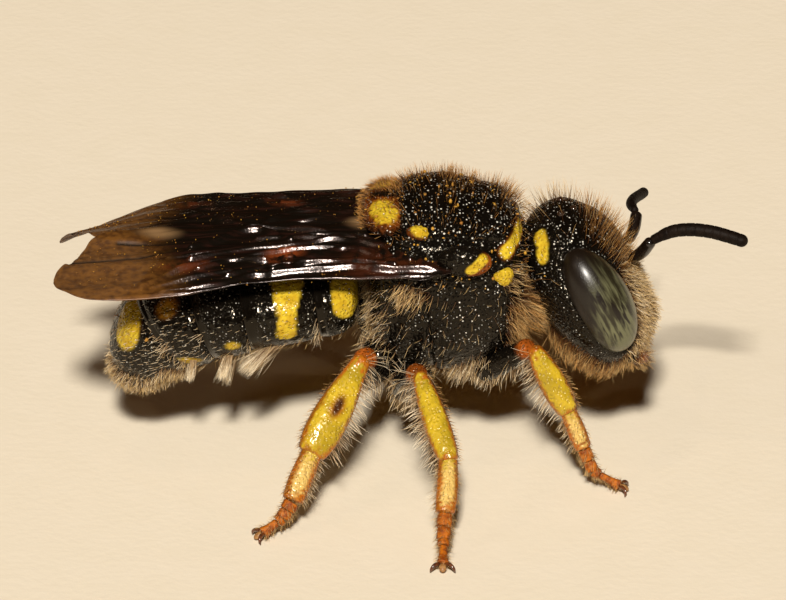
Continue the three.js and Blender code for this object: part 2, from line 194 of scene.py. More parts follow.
@dataclass
class Loft(Form):
    """Oval sections along a smooth line of centres, rounded off at both ends.

    The angle turns from side towards the direction that side and the line's own direction give.
    """

    centres: Array
    half_side: Array
    half_up: Array
    side: Point = (0.0, 1.0, 0.0)
    power: float = 2.0
    caps: Span = (0.5, 0.5)
    span: Span = (0.0, 1.0)
    swell: Callable[[Array, Array], Array] | None = None

    def __post_init__(self) -> None:
        """Works out shares of length that spread the rings evenly, ends included."""
        self.centres = np.asarray(self.centres, float)
        count = len(self.centres)
        self.half_side = np.broadcast_to(np.asarray(self.half_side, float), (count,)).copy()
        self.half_up = np.broadcast_to(np.asarray(self.half_up, float), (count,)).copy()
        self.shares = (1 - np.cos(np.linspace(0, math.pi, 600))) / 2
        profile, other = (self._place(self.shares, np.full(600, angle)) for angle in (math.pi / 2, 0.0))
        steps = sum(np.linalg.norm(np.diff(line, axis=0), axis=-1) for line in (profile, other))
        self.lengths = summed(steps) / steps.sum()

    def _place(self, local: Array, angle: Array) -> Array:
        """Points at shares of the spanned length, before the rings are spread."""
        share = self.span[0] + (self.span[1] - self.span[0]) * local
        centre = through(self.centres, share)
        ahead = unit(through(self.centres, share + 5e-3) - through(self.centres, share - 5e-3))
        side = np.broadcast_to(np.array(self.side), ahead.shape)
        side = unit(side - (side * ahead).sum(-1, keepdims=True) * ahead)
        up = np.cross(side, ahead)
        close = np.ones_like(local)
        for cap, run in zip(self.caps, (local, 1 - local)):
            close = close * np.sqrt(np.clip(1 - np.clip(1 - run / cap, 0, 1) ** 2, 0, 1))
        if self.swell is not None:
            close = close * self.swell(local, angle)
        cos, sin = np.cos(angle), np.sin(angle)
        a = close * through(self.half_side, share) * np.sign(cos) * np.abs(cos) ** (2 / self.power)
        b = close * through(self.half_up, share) * np.sign(sin) * np.abs(sin) ** (2 / self.power)
        return centre + side * a[..., None] + up * b[..., None]

    def local(self, u: Array) -> Array:
        """Share of the form's length at places u."""
        return np.interp(u, self.lengths, self.shares)

    def at(self, u: Array, angle: Array) -> Array:
        """Points of the surface."""
        u, angle = np.broadcast_arrays(u, angle)
        return self._place(self.local(u), angle)


def ovoid(centre: Array, axis: Array, side: Array, half: Point, power: float = 2.0) -> Loft:
    """Ovoid with its poles along an axis.

    Args:
        centre: its middle.
        axis: direction from the first pole to the second.
        side: direction of angle zero.
        half: half sizes along the axis, along side, and along the third direction.
        power: squareness of its sections.

    Returns:
        The form.
    """
    ends = [np.asarray(centre) + np.asarray(axis) * half[0] * k for k in (-1, -0.33, 0.33, 1)]
    return Loft(ends, half[1], half[2], tuple(side), power)


# ---- meshes


def deselect() -> None:
    """Leaves nothing selected."""
    for thing in bpy.context.selected_objects:
        thing.select_set(False)


def new_object(name: str, points: Array, faces: Array) -> Thing:
    """Object made of arrays of points in millimetres and of faces with one count of corners."""
    mesh = bpy.data.meshes.new(name)
    corners = faces.shape[1]
    mesh.vertices.add(len(points))
    write_points(mesh, points)
    mesh.loops.add(faces.size)
    mesh.loops.foreach_set("vertex_index", faces.astype(np.int32).ravel())
    mesh.polygons.add(len(faces))
    mesh.polygons.foreach_set("loop_start", np.arange(0, faces.size, corners, dtype=np.int32))
    mesh.update(calc_edges=True)
    mesh.shade_smooth()
    thing = bpy.data.objects.new(name, mesh)
    bpy.context.scene.collection.objects.link(thing)
    return thing


def read_points(thing: Thing) -> Array:
    """The places of an object's points, one row each."""
    flat = np.empty(len(thing.data.vertices) * 3, np.float32)
    thing.data.vertices.foreach_get("co", flat)
    return flat.reshape(-1, 3).astype(float)


def write_points(mesh: bpy.types.Mesh, points: Array) -> None:
    """Moves a mesh's points to places in millimetres."""
    mesh.vertices.foreach_set("co", (points * MM).astype(np.float32).ravel())


def write_layer(mesh: bpy.types.Mesh, name: str, values: Array) -> None:
    """Stores a number for each of a mesh's points."""
    layer = mesh.attributes.new(name, "FLOAT", "POINT")
    layer.data.foreach_set("value", values.astype(np.float32))


def rename(thing: Thing, name: str) -> None:
    """Names an object and its mesh."""
    thing.name = name
    thing.data.name = name


def apply_modifier(thing: Thing, kind: str, **settings: object) -> None:
    """Adds a modifier to the active object and applies it."""
    modifier = thing.modifiers.new(kind.lower(), kind)
    for key, value in settings.items():
        setattr(modifier, key, value)
    bpy.ops.object.modifier_apply(modifier=modifier.name)


class Shell:
    """A plate of the body: a sphere primitive laid over a form, then pitted, raised and marked."""

    def __init__(self, name: str, form: Form, segments: int, rings: int) -> None:
        """Adds the sphere and lays it over the form.

        Args:
            name: the piece's name.
            form: the surface.
            segments: count of faces around.
            rings: count of faces from pole to pole.
        """
        levels = 2
        coarse = 2**levels
        deselect()
        bpy.ops.mesh.primitive_uv_sphere_add(
            segments=segments // coarse, ring_count=rings // coarse, radius=1.0
        )
        self.thing = bpy.context.object
        apply_modifier(self.thing, "SUBSURF", subdivision_type="SIMPLE", levels=levels)
        rename(self.thing, name)
        self.form = form
        ball = unit(read_points(self.thing))
        self.u = np.arccos(np.clip(ball[:, 2], -1, 1)) / math.pi
        self.angle = np.arctan2(ball[:, 1], ball[:, 0])
        self.base = form.at(self.u, self.angle)
        self.normal = form.normal(self.u, self.angle)
        self.lift = np.zeros(len(self.u))
        self.layers: dict[str, Array] = {}

    def pits(
        self,
        spacing: float,
        size: float,
        depth: float,
        seed: int,
        where: Where | None = None,
        stretch: tuple[Point, float] | None = None,
    ) -> None:
        """Presses round pits into the plate.

        Args:
            spacing: distance between pits.
            size: radius of a pit.
            depth: how deep it is.
            seed: of its random places.
            where: from u, angle and point, how strong the pits are there, from 0 to 1.
            stretch: an axis and how many times longer the pits are along it.
        """
        stray, weakest, steepness = 0.28, 0.05, 1.7
        rng = np.random.default_rng(seed)
        u, angle = self.form.scatter(spacing, rng, stray)
        centres = self.form.at(u, angle)
        strength = np.ones(len(u)) if where is None else where(u, angle, centres)
        keep = strength > weakest
        centres, strength = centres[keep], strength[keep]
        sizes = size * rng.uniform(0.8, 1.15, len(centres)) * (0.6 + 0.4 * strength)
        warp = np.eye(3)
        if stretch is not None:
            axis = unit(np.array(stretch[0]))
            warp = warp - (1 - 1 / stretch[1]) * np.outer(axis, axis)
        tree = KDTree(len(centres))
        for i, centre in enumerate(centres @ warp):
            tree.insert(centre, i)
        tree.balance()
        near = [tree.find(p)[1:] for p in self.base @ warp]
        index = np.array([n[0] for n in near])
        reach = np.array([n[1] for n in near]) / sizes[index]
        bowl = np.exp(-steepness * reach**2) * strength[index]
        self.lift -= depth * bowl
        # The bowls' depth, which the finish darkens as painted shade.
        self.layers["pit"] = np.maximum(self.layers.get("pit", 0), bowl)

    def raise_by(self, amount: Array) -> None:
        """Lifts the plate by so many millimetres at each of its points."""
        self.lift += amount

    def paint(self, layer: str, amount: Array) -> None:
        """Adds to a named layer that a finish reads, from 0 to 1."""
        self.layers[layer] = np.clip(np.maximum(self.layers.get(layer, 0), amount), 0, 1)

    def points(self) -> Array:
        """Where the plate's points end up, in millimetres."""
        return self.base + self.normal * self.lift[:, None]

    def write(self) -> Thing:
        """Writes the plate's shape and layers to its mesh."""
        mesh = self.thing.data
        write_points(mesh, self.points())
        for name, values in self.layers.items():
            write_layer(mesh, name, np.broadcast_to(values, len(self.u)))
        mesh.shade_smooth()
        mesh.update()
        return self.thing

    def finish(self, material: Material, slot: str, *nodes: str) -> Thing:
        """Writes the mesh, dresses it and puts it on the frame.

        Args:
            material: its finish.
            slot: the record's material slot; not used.
            nodes: the solids that it stands for.

        Returns:
            The finished object.
        """
        return place(self.write(), material, slot, *nodes)


def place(thing: Thing, material: Material, slot: str, *nodes: str) -> Thing:
    """Gives a piece its finish and its body, and hides the solids that it stands for."""
    thing.data.materials.clear()
    thing.data.materials.append(material)
    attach(thing, BODY)
    if nodes:
        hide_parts(*nodes)
    log.info("%s: %d faces", thing.name, len(thing.data.polygons))
    return thing


def spot(points: Array, centre: Array, along: Array, half: Span, soft: float = 0.15) -> Array:
    """Oval mark on a surface.

    Args:
        points: the surface's points.
        centre: the mark's middle.
        along: direction of its length.
        half: half its length and half its width.
        soft: width of its edge, as a share of its size.

    Returns:
        1 inside the mark and 0 outside it.
    """
    away = points - np.asarray(centre)
    length = away @ unit(np.asarray(along, float))
    width = np.sqrt(np.maximum((away**2).sum(-1) - length**2, 0))
    reach = np.sqrt((length / half[0]) ** 2 + (width / half[1]) ** 2)
    return 1 - ease(1 - soft, 1 + soft, reach)


def both_sides(centre: Point, along: Point, half: Span) -> Where:
    """Chance of a hair in an oval patch on each side of the body.

    Args:
        centre: the patch's middle on either side.
        along: direction of its length.
        half: half its length and half its width.

    Returns:
        The chance from root points, normals and angles.
    """
    return lambda p, n, a: sum(spot(p, mirror(centre, side), along, half, 0.4) for side in SIDES.values())


def zone(share: float = 1.0, least: float = 0.0, **limits: Span) -> Where:
    """Chance of a hair on part of a skin.

    Args:
        share: the chance where every limit is passed.
        least: added to the chance everywhere.
        limits: for x, y or z of the root, or nx, ny or nz of the normal there, its values where
            the chance starts and where it is full.

    Returns:
        The chance from root points, normals and angles.
    """

    def chance(p: Array, n: Array, a: Array) -> Array:
        """The product of what the limits allow."""
        axes = dict(zip(("x", "y", "z", "nx", "ny", "nz"), (*p.T, *n.T)))
        return math.prod(ease(*limit, axes[key]) for key, limit in limits.items()) * share + least + 0 * a

    return chance


def join(things: list[Thing], name: str) -> Thing:
    """Joins objects into the first of them."""
    deselect()
    for thing in things:
        thing.select_set(True)
    bpy.context.view_layer.objects.active = things[0]
    bpy.ops.object.join()
    rename(things[0], name)
    return things[0]


# ---- finishes


class Nodes:
    """A material's node tree while it is being built."""

    def __init__(self, name: str) -> None:
        """Starts a material with one shader, and coordinates in millimetres."""
        self.material = bpy.data.materials.new(name)
        self.material.use_nodes = True
        self.tree = self.material.node_tree
        self.tree.nodes.clear()
        output = self.add("ShaderNodeOutputMaterial")
        self.shader = self.add("ShaderNodeBsdfPrincipled")
        self.tree.links.new(self.shader.outputs[0], output.inputs["Surface"])
        mapping = self.add("ShaderNodeMapping", Vector=self.add("ShaderNodeTexCoord").outputs["Object"])
        mapping.inputs["Scale"].default_value = (1 / MM, 1 / MM, 1 / MM)
        self.place = mapping.outputs[0]

    def add(self, kind: str, **inputs: object) -> bpy.types.Node:
        """Adds a node and feeds its inputs, named with _ for each space."""
        node = self.tree.nodes.new(kind)
        for key, value in inputs.items():
            self.feed(node.inputs[key.replace("_", " ")], value)
        return node

    def feed(self, socket: Socket, value: object) -> None:
        """Links a socket to another one, or sets it to a constant."""
        if isinstance(value, Socket):
            self.tree.links.new(value, socket)
        elif socket.type == "RGBA":
            socket.default_value = (*value, 1.0)
        else:
            socket.default_value = value

    def set(self, **inputs: object) -> None:
        """Feeds the shader's inputs."""
        for key, value in inputs.items():
            self.feed(self.shader.inputs[key.replace("_", " ")], value)

    def layer(self, name: str) -> Socket:
        """A layer of numbers stored on the mesh."""
        node = self.add("ShaderNodeAttribute")
        node.attribute_name = name
        return node.outputs["Fac"]

    def noise(self, size: float, detail: float = 2.0, place: Socket | None = None) -> Socket:
        """Soft noise with waves of about one size, in millimetres."""
        node = self.add("ShaderNodeTexNoise", Vector=place or self.place, Scale=1 / size, Detail=detail)
        return node.outputs["Fac"]

    def rise(self, value: Socket, low: float, high: float, bottom: float = 0.0, top: float = 1.0) -> Socket:
        """Smooth rise of a value between two levels, from bottom to top."""
        node = self.add("ShaderNodeMapRange", Value=value)
        node.interpolation_type = "SMOOTHSTEP"
        for socket, number in zip(list(node.inputs)[1:5], (low, high, bottom, top)):
            socket.default_value = number
        return node.outputs["Result"]

    def mix(self, factor: object, first: object, second: object) -> Socket:
        """Blend of two colours."""
        node = self.tree.nodes.new("ShaderNodeMix")
        node.data_type = "RGBA"
        for socket, value in ((node.inputs[0], factor), (node.inputs[6], first), (node.inputs[7], second)):
            self.feed(socket, value)
        return node.outputs[2]

    def sum(self, first: object, second: object, operation: str = "ADD") -> Socket:
        """Two numbers added, or combined by another operation."""
        node = self.tree.nodes.new("ShaderNodeMath")
        node.operation = operation
        self.feed(node.inputs[0], first)
        self.feed(node.inputs[1], second)
        return node.outputs[0]

    def bump(self, height: Socket, depth: float) -> None:
        """Gives the shader a bump of a depth in millimetres."""
        node = self.add("ShaderNodeBump", Height=height, Distance=depth * MM)
        self.feed(self.shader.inputs["Normal"], node.outputs[0])


@dataclass(frozen=True)
class ShellFinish:
    """Pitted body shell: a ground colour, yellow marks and amber stretches, under a thin gloss, with painted
    shade in its pits and painted glints as pale dots.
    """

    name: str
    ground: Colour
    mark: Colour = (0.62, 0.45, 0.03)
    mark_deep: Colour = (0.48, 0.31, 0.015)
    # the marks' darker colour deep in their pits, as painted shade
    mark_pit_shade: Colour = (0.42, 0.24, 0.012)
    scar: Colour = (0.05, 0.015, 0.004)
    amber: Colour = (0.36, 0.085, 0.01)
    pale: Colour = (0.62, 0.42, 0.125)
    pit_shade: float = 0.7
    roughness: float = 0.11
    gloss: float = 0.0
    specular: float = 0.26
    grain: float = 0.017
    grain_size: float = 0.043
    # painted glints: how strong the pale dots are, and their colour
    painted_glint_strength: float = 0.95
    painted_glint: Colour = (0.95, 0.92, 0.82)
    sheen_tint: Colour = (1.0, 0.87, 0.68)

    def make(self) -> Material:
        """Builds the material."""
        n = Nodes(self.name)
        broad = n.noise(0.35, 3.0)
        dark = tuple(c * 0.6 for c in self.ground)
        colour = n.mix(n.rise(broad, 0.35, 0.65), dark, self.ground)
        amber = n.mix(n.rise(broad, 0.3, 0.7), self.amber, tuple(c * 0.5 for c in self.amber))
        colour = n.mix(n.layer("pale"), colour, self.pale)
        colour = n.mix(n.layer("amber"), colour, amber)
        mark = n.mix(n.rise(n.noise(0.11, 4.0), 0.4, 0.62), self.mark, self.mark_deep)
        colour = n.mix(n.layer("mark"), colour, mark)
        # Painted shade: each pit darkened by its depth, on the marks too.
        pit = n.sum(n.layer("pit"), self.pit_shade, "MULTIPLY")
        colour = n.mix(pit, colour, n.mix(n.layer("mark"), dark, self.mark_pit_shade))
        colour = n.mix(n.layer("scar"), colour, self.scar)
        # Painted glints: pale dots at the middle of some cells, only on pitted parts, fewer where the
        # fewer-glints layer is painted, more where the glint-density layer is.
        cells = n.add("ShaderNodeTexVoronoi", Vector=n.place, Scale=1 / self.grain_size)
        chance = n.add("ShaderNodeSeparateColor", Color=cells.outputs["Color"])
        away = n.sum(cells.outputs["Distance"], n.sum(chance.outputs[0], 0.42, "MULTIPLY"))
        away = n.sum(away, n.sum(n.layer("fewer_painted_glints"), 0.2, "MULTIPLY"))
        away = n.sum(away, n.sum(n.layer("painted_glint_density"), 0.11, "MULTIPLY"), "SUBTRACT")
        rough_part = n.sum(1.0, n.layer("smooth"), "SUBTRACT")
        strength = n.rise(chance.outputs[1], 0.0, 1.0, self.painted_glint_strength * 0.2, self.painted_glint_strength)
        painted_glint = n.sum(n.rise(away, 0.12, 0.35, 1.0, 0.0), n.sum(rough_part, strength, "MULTIPLY"), "MULTIPLY")
        colour = n.mix(painted_glint, colour, self.painted_glint)
        rough = n.rise(n.noise(0.05, 2.0), 0.3, 0.7, self.roughness * 0.75, self.roughness * 1.35)
        n.set(Base_Color=colour, Roughness=rough, Specular_IOR_Level=self.specular)
        n.set(Coat_Weight=self.gloss, Coat_Roughness=0.1, IOR=1.5, Specular_Tint=self.sheen_tint)
        dimples = n.rise(cells.outputs["Distance"], 0.08, 0.5)
        grain = n.sum(n.sum(dimples, rough_part, "MULTIPLY"), n.sum(n.noise(0.02), 0.08, "MULTIPLY"))
        n.bump(grain, self.grain)
        return n.material


@dataclass(frozen=True)
class EyeFinish:
    """Glossy grey-green eye with dark streaks down its length and a dark top, paler below: partly its own
    colour, partly painted reflection of the floor.
    """

    light: Colour = (0.125, 0.125, 0.064)
    middle: Colour = (0.02, 0.017, 0.008)
    dark: Colour = (0.008, 0.005, 0.003)

    def make(self) -> Material:
        """Builds the material."""
        n = Nodes("eye_lens")
        share, turn = n.layer("share"), n.layer("turn")
        lengthwise = n.add("ShaderNodeCombineXYZ", X=turn, Y=n.sum(share, 0.22, "MULTIPLY"))
        streaks = n.noise(0.05, 3.0, lengthwise.outputs[0])
        # Paler lower part: partly the eye's own grey-green, partly painted reflection of the floor.
        low = n.sum(n.layer("paler_below_and_reflection"), 0.16, "MULTIPLY")
        colour = n.mix(n.rise(n.sum(streaks, low), 0.42, 0.68), self.middle, self.light)
        short = n.add("ShaderNodeCombineXYZ", X=turn, Y=n.sum(share, 0.42, "MULTIPLY"))
        dashes = n.rise(n.noise(0.07, 1.5, short.outputs[0]), 0.5, 0.62)
        colour = n.mix(n.sum(dashes, n.layer("dashes"), "MULTIPLY"), colour, self.dark)
        colour = n.mix(n.layer("dusk"), colour, self.dark)
        facets = n.add("ShaderNodeTexVoronoi", Vector=n.place, Scale=1 / 0.022)
        n.set(Base_Color=colour, Roughness=0.35, IOR=1.45, Specular_IOR_Level=0.15)
        n.set(Coat_Weight=0.6, Coat_Roughness=0.28, Coat_IOR=1.5)
        n.bump(facets.outputs["Distance"], 0.0036)
        return n.material


@dataclass(frozen=True)
class PlainFinish:
    """One colour with soft mottling and a fine grain."""

    name: str
    first: Colour
    second: Colour
    size: float = 0.1
    roughness: float = 0.4
    gloss: float = 0.0
    grain: float = 0.001
    specular: float = 0.5

    def make(self) -> Material:
        """Builds the material."""
        n = Nodes(self.name)
        n.set(Base_Color=n.mix(n.rise(n.noise(self.size, 3.0), 0.35, 0.65), self.first, self.second))
        n.set(Roughness=self.roughness, Specular_IOR_Level=self.specular)
        n.set(Coat_Weight=self.gloss, Coat_Roughness=0.1)
        n.bump(n.noise(self.size / 5, 3.0), self.grain)
        return n.material


@dataclass(frozen=True)
class WingFinish:
    """Smoky membrane: near black at the root, brown and clearer at the tip, with a faintly rosy gloss and
    painted shade along its creases.
    """

    root: Colour = (0.004, 0.003, 0.002)
    stain: Colour = (0.017, 0.006, 0.004)
    cell: Colour = (0.17, 0.035, 0.008)
    tip: Colour = (0.16, 0.065, 0.012)
    tip_deep: Colour = (0.07, 0.026, 0.006)
    clear: Colour = (0.34, 0.2, 0.09)
    sheen_tint: Colour = (1.0, 0.85, 0.82)

    def make(self) -> Material:
        """Builds the material."""
        n = Nodes("wing_membrane")
        tip = n.layer("tip")
        drawn = n.add("ShaderNodeMapping", Vector=n.place)
        drawn.inputs["Scale"].default_value = (0.1, 1.0, 0.3)
        wrinkles = n.noise(0.05, 2.0, drawn.outputs[0])
        mottle = n.rise(n.noise(0.16, 3.0), 0.35, 0.6)
        colour = n.mix(n.rise(wrinkles, 0.45, 0.75), self.root, self.stain)
        colour = n.mix(n.sum(mottle, n.layer("cell"), "MULTIPLY"), colour, self.cell)
        colour = n.mix(tip, colour, n.mix(n.rise(n.noise(0.09, 4.0), 0.35, 0.7), self.tip, self.tip_deep))
        colour = n.mix(n.layer("clear"), colour, self.clear)
        # Painted shade along the creases.
        colour = n.mix(n.layer("crease_with_shade"), colour, self.root)
        n.set(Base_Color=colour, Alpha=n.rise(tip, 0.0, 1.0, 0.99, 0.88))
        n.set(Roughness=n.rise(tip, 0.0, 1.0, 0.17, 0.4), IOR=1.5, Specular_IOR_Level=0.5)
        n.set(Specular_Tint=self.sheen_tint)
        fine = n.sum(n.noise(0.03, 3.0), n.rise(tip, 0.0, 1.0, 0.75, 0.3), "MULTIPLY")
        n.bump(n.sum(wrinkles, fine), 0.0038)
        return n.material


@dataclass(frozen=True)
class HairFinish:
    """Hair from white over gold to orange, darker at the root than at the tip, by layers of the mesh; the
    dark root is partly the hair's own tone and partly painted shade within the coat.
    """

    white: tuple[Colour, Colour] = ((0.4, 0.27, 0.14), (0.98, 0.87, 0.66))
    gold: tuple[Colour, Colour] = ((0.1, 0.04, 0.009), (0.86, 0.6, 0.26))
    orange: tuple[Colour, Colour] = ((0.06, 0.017, 0.003), (0.62, 0.27, 0.05))

    def make(self) -> Material:
        """Builds the material."""
        n = Nodes("hair")
        # tone runs from root to tip; the darker root is partly the hair's own tone and partly painted shade
        # within the coat.
        tone, warm = n.rise(n.layer("tone"), 0.15, 1.0), n.layer("warm")
        white, gold, orange = (n.mix(tone, *pair) for pair in (self.white, self.gold, self.orange))
        colour = n.mix(n.rise(warm, 0.0, 0.4), white, gold)
        colour = n.mix(n.rise(warm, 0.4, 1.0), colour, orange)
        n.set(Base_Color=colour, Roughness=0.45, Specular_IOR_Level=0.25)
        return n.material


class Finishes:
    """Every material, made once."""

    def __init__(self) -> None:
        """Builds them."""
        self.black = ShellFinish("black_shell", (0.004, 0.003, 0.002)).make()
        self.yellow = ShellFinish(
            "yellow_shell",
            (0.54, 0.37, 0.02),
            amber=(0.4, 0.1, 0.008),
            pit_shade=0.3,
            roughness=0.22,
            gloss=0.15,
            specular=0.4,
            grain=0.011,
            grain_size=0.055,
            painted_glint_strength=0.2,
        ).make()
        self.eye = EyeFinish().make()
        self.wing = WingFinish().make()
        amber = ((0.19, 0.038, 0.002), (0.44, 0.12, 0.006))
        soot = ((0.005, 0.003, 0.002), (0.01, 0.006, 0.004))
        self.amber = PlainFinish("amber_shell", *amber, 0.08, 0.4, grain=0.012, specular=0.2).make()
        self.feeler = PlainFinish("feeler", *soot, 0.08, 0.5, grain=0.005, specular=0.06).make()
        self.scape = PlainFinish("feeler_root", *soot, 0.08, 0.2, 0.3).make()
        self.ocellus = PlainFinish(
            "ocellus", (0.02, 0.01, 0.006), (0.03, 0.015, 0.008), 0.1, 0.1, 1.0, 0.0
        ).make()
        self.claw = PlainFinish("claw", (0.05, 0.015, 0.005), (0.12, 0.035, 0.01), 0.08, 0.25, 0.4).make()
        self.pad = PlainFinish("pad", (0.25, 0.11, 0.03), (0.35, 0.18, 0.06), 0.05, 0.5).make()
        self.hair = HairFinish().make()
        self.pollen = PlainFinish("pollen", (0.5, 0.26, 0.02), (0.26, 0.1, 0.01), 0.25, 0.6).make()


# ---- the coat


@dataclass(frozen=True)
class Lie:
    """How the hairs of a patch grow.

    Attributes:
        length: shortest and longest, in millimetres.
        lift: how far they stand from the skin at the root, 0 flat to 1 upright.
        end_lift: the same at the tip.
        sweep: the way they lean.
        stray: how much their ways differ.
        radius: at the root.
        clump: how strongly tips gather, from 0 to 1.
        clump_size: distance between gatherings.
        warm: 0 for the pale colour to 1 for the warm one.
        rise: height of the roots above the skin.
    """

    length: Span
    lift: float = 0.7
    end_lift: float = 0.5
    sweep: Point = (-1.0, 0.0, 0.0)
    stray: float = 0.25
    radius: float = 0.006
    clump: float = 0.0
    clump_size: float = 0.12
    warm: float = 0.0
    rise: float = 0.0


@dataclass
class Coat:
    """One piece of the coat: thin tapered hairs grown on skins, each with its own patch of the map."""

    name: str
    seed: int
    steps: int = 3  # rows of faces of a hair
    tiles: int = 3  # skins that share the map's width
    patch: float = 0.003
    points: list[Array] = field(default_factory=list)
    maps: list[Array] = field(default_factory=list)
    tones: list[Array] = field(default_factory=list)
    warms: list[Array] = field(default_factory=list)
    count: int = 0
    skins: list[Form] = field(default_factory=list)

    def __post_init__(self) -> None:
        """Starts the coat's own random numbers."""
        self.rng = np.random.default_rng(self.seed)

    def grow(
        self,
        form: Form,
        spacing: float,
        lie: Lie,
        where: Where,
        raised: Callable[[Array], Array] | None = None,
    ) -> None:
        """Covers part of a skin.

        Args:
            form: the skin.
            spacing: distance between roots.
            lie: how they grow.
            where: from root points, normals and angles, the chance that a hair grows, from 0 to 1.
            raised: how far the plate stands above the skin at the root points.
        """
        u, angle = form.scatter(spacing, self.rng, 0.6)
        roots, normals = form.at(u, angle), form.normal(u, angle)
        chance = where(roots, normals, angle)
        keep = self.rng.random(len(u)) < chance
        u, angle, roots, normals = u[keep], angle[keep], roots[keep], normals[keep]
        if not len(u):
            return
        if raised is not None:
            roots = roots + normals * raised(roots)[:, None]
        if not any(form is skin for skin in self.skins):
            self.skins.append(form)
        tile = next(i for i, skin in enumerate(self.skins) if form is skin)
        corner = np.array([tile % self.tiles, tile // self.tiles]) / self.tiles
        within = np.stack([0.03 + 0.94 * (angle % TURN) / TURN, 0.03 + 0.94 * u], 1)
        length = self.rng.uniform(*lie.length, len(u))
        sweep = np.broadcast_to(np.asarray(lie.sweep, float), roots.shape)
        self.strands(roots, normals, sweep, length, lie, corner + within / self.tiles)

    def strands(
        self, roots: Array, normals: Array, sweep: Array, length: Array, lie: Lie, patches: Array
    ) -> None:
        """Adds hairs.

        Args:
            roots: where they start.
            normals: outward ways there.
            sweep: the way each leans.
            length: of each.
            lie: how they grow.
            patches: the middle of each one's patch of the map.
        """
        n = len(roots)
        flat = sweep - (sweep * normals).sum(-1, keepdims=True) * normals
        flat = unit(flat + 1e-6)
        stray = self.rng.normal(0, lie.stray, (n, 3))
        start = unit(normals * lie.lift + flat * (1 - lie.lift) + stray * 0.6)
        finish = unit(normals * lie.end_lift + flat * (1 - abs(lie.end_lift)) + stray)
        size = length[:, None]
        sunk = 0.012
        first = roots + normals * (lie.rise - sunk)
        middle = first + start * size * 0.5
        last = middle + finish * size * 0.5
        if lie.clump > 0:
            last = self.gather(first, last, lie)
        chord = unit(last - first)
        across = unit(np.cross(chord, self.rng.normal(size=(n, 3))))
        other = np.cross(chord, across)
        turns = np.arange(3) * 2 * math.pi / 3
        cos, sin = np.cos(turns)[None, :, None], np.sin(turns)[None, :, None]
        around = across[:, None] * cos + other[:, None] * sin
        radius = lie.radius * self.rng.uniform(0.75, 1.25, n)
        rings, tones = [], []
        for k in range(self.steps + 1):
            t = k / self.steps
            centre = first * (1 - t) ** 2 + middle * 2 * t * (1 - t) + last * t**2
            width = radius * (1 - t) ** 0.6 if t < 1 else radius * 0.08
            rings.append(centre[:, None] + around * width[:, None, None])
            tones.append(np.full((n, 3), t))
        self.points.append(np.stack(rings, 1).reshape(-1, 3))
        shade = np.clip(np.stack(tones, 1) + self.rng.normal(0, 0.16, (n, 1, 1)), 0, 1)
        self.tones.append(shade.reshape(-1))
        warm = np.clip(lie.warm + self.rng.normal(0, 0.12, n), 0, 1)
        self.warms.append(np.repeat(warm, 3 * (self.steps + 1)))
        self.maps.append(patches)
        self.count += n

    def gather(self, first: Array, last: Array, lie: Lie) -> Array:
        """Pulls hair tips together into small locks.

        Args:
            first: the roots.
            last: the tips.
            lie: how they grow.

        Returns:
            The moved tips.
        """
        cells: dict[tuple[int, int, int], int] = {}
        keys = np.floor(first / lie.clump_size + self.rng.uniform(-0.2, 0.2, first.shape)).astype(int)
        index = np.array([cells.setdefault(tuple(key), len(cells)) for key in keys.tolist()])
        totals = np.zeros((len(cells), 3))
        np.add.at(totals, index, last)
        tips = totals / np.bincount(index)[:, None]
        return last + (tips[index] - last) * lie.clump

    def build(self, finish: Material) -> None:
        """Joins the hairs into one mesh and dresses it."""
        steps = self.steps
        rows = steps + 1
        base = np.arange(self.count)[:, None, None, None] * rows * 3
        ring = np.arange(steps)[None, :, None, None] * 3
        side = np.arange(3)[None, None, :, None]
        corner = np.concatenate([side, (side + 1) % 3, (side + 1) % 3 + 3, side + 3], axis=3)
        faces = (base + ring + corner).reshape(-1, 4)
        thing = new_object(self.name, np.concatenate(self.points), faces)
        mesh = thing.data
        across = np.concatenate([side, side + 1, side + 1, side], axis=3) / 3
        along = np.concatenate([ring, ring, ring + 3, ring + 3], axis=3) / (3 * steps)
        across, along = np.broadcast_arrays(across, along)
        inside = (np.stack([across, along], -1).reshape(1, -1, 2) - 0.5) * self.patch
        layer = mesh.uv_layers.new(name="OFBake")
        places = np.concatenate(self.maps)[:, None, :] + inside
        layer.data.foreach_set("uv", places.astype(np.float32).ravel())
        write_layer(mesh, "tone", np.concatenate(self.tones))
        write_layer(mesh, "warm", np.concatenate(self.warms))
        place(thing, finish, "hair")


# ---- the body


def group(
    shells: list[Shell], name: str, material: Material, slot: str, *nodes: str
) -> Thing:
    """Joins plates into one piece and puts it on the frame."""
    return place(join([shell.write() for shell in shells], name), material, slot, *nodes)


def band(points: Array, path: list[Array], half: float, soft: float = 0.2) -> Array:
    """Mark of one width along a line through points.

    Args:
        points: the surface's points.
        path: corners of the line.
        half: half the mark's width.
        soft: width of its edge, as a share of that.

    Returns:
        1 inside the mark and 0 outside it.
    """
    return 1 - ease(1 - soft, 1 + soft, away_from(points, path) / half)


def away_from(points: Array, path: list[Array]) -> Array:
    """Distance from each point to a line through corners."""
    best = np.full(len(points), np.inf)
    for a, b in zip(path, path[1:]):
        a, b = np.array(a, float), np.array(b, float)
        share = np.clip(((points - a) @ (b - a)) / max((b - a) @ (b - a), 1e-12), 0, 1)
        best = np.minimum(best, np.linalg.norm(points - a - share[:, None] * (b - a), axis=1))
    return best


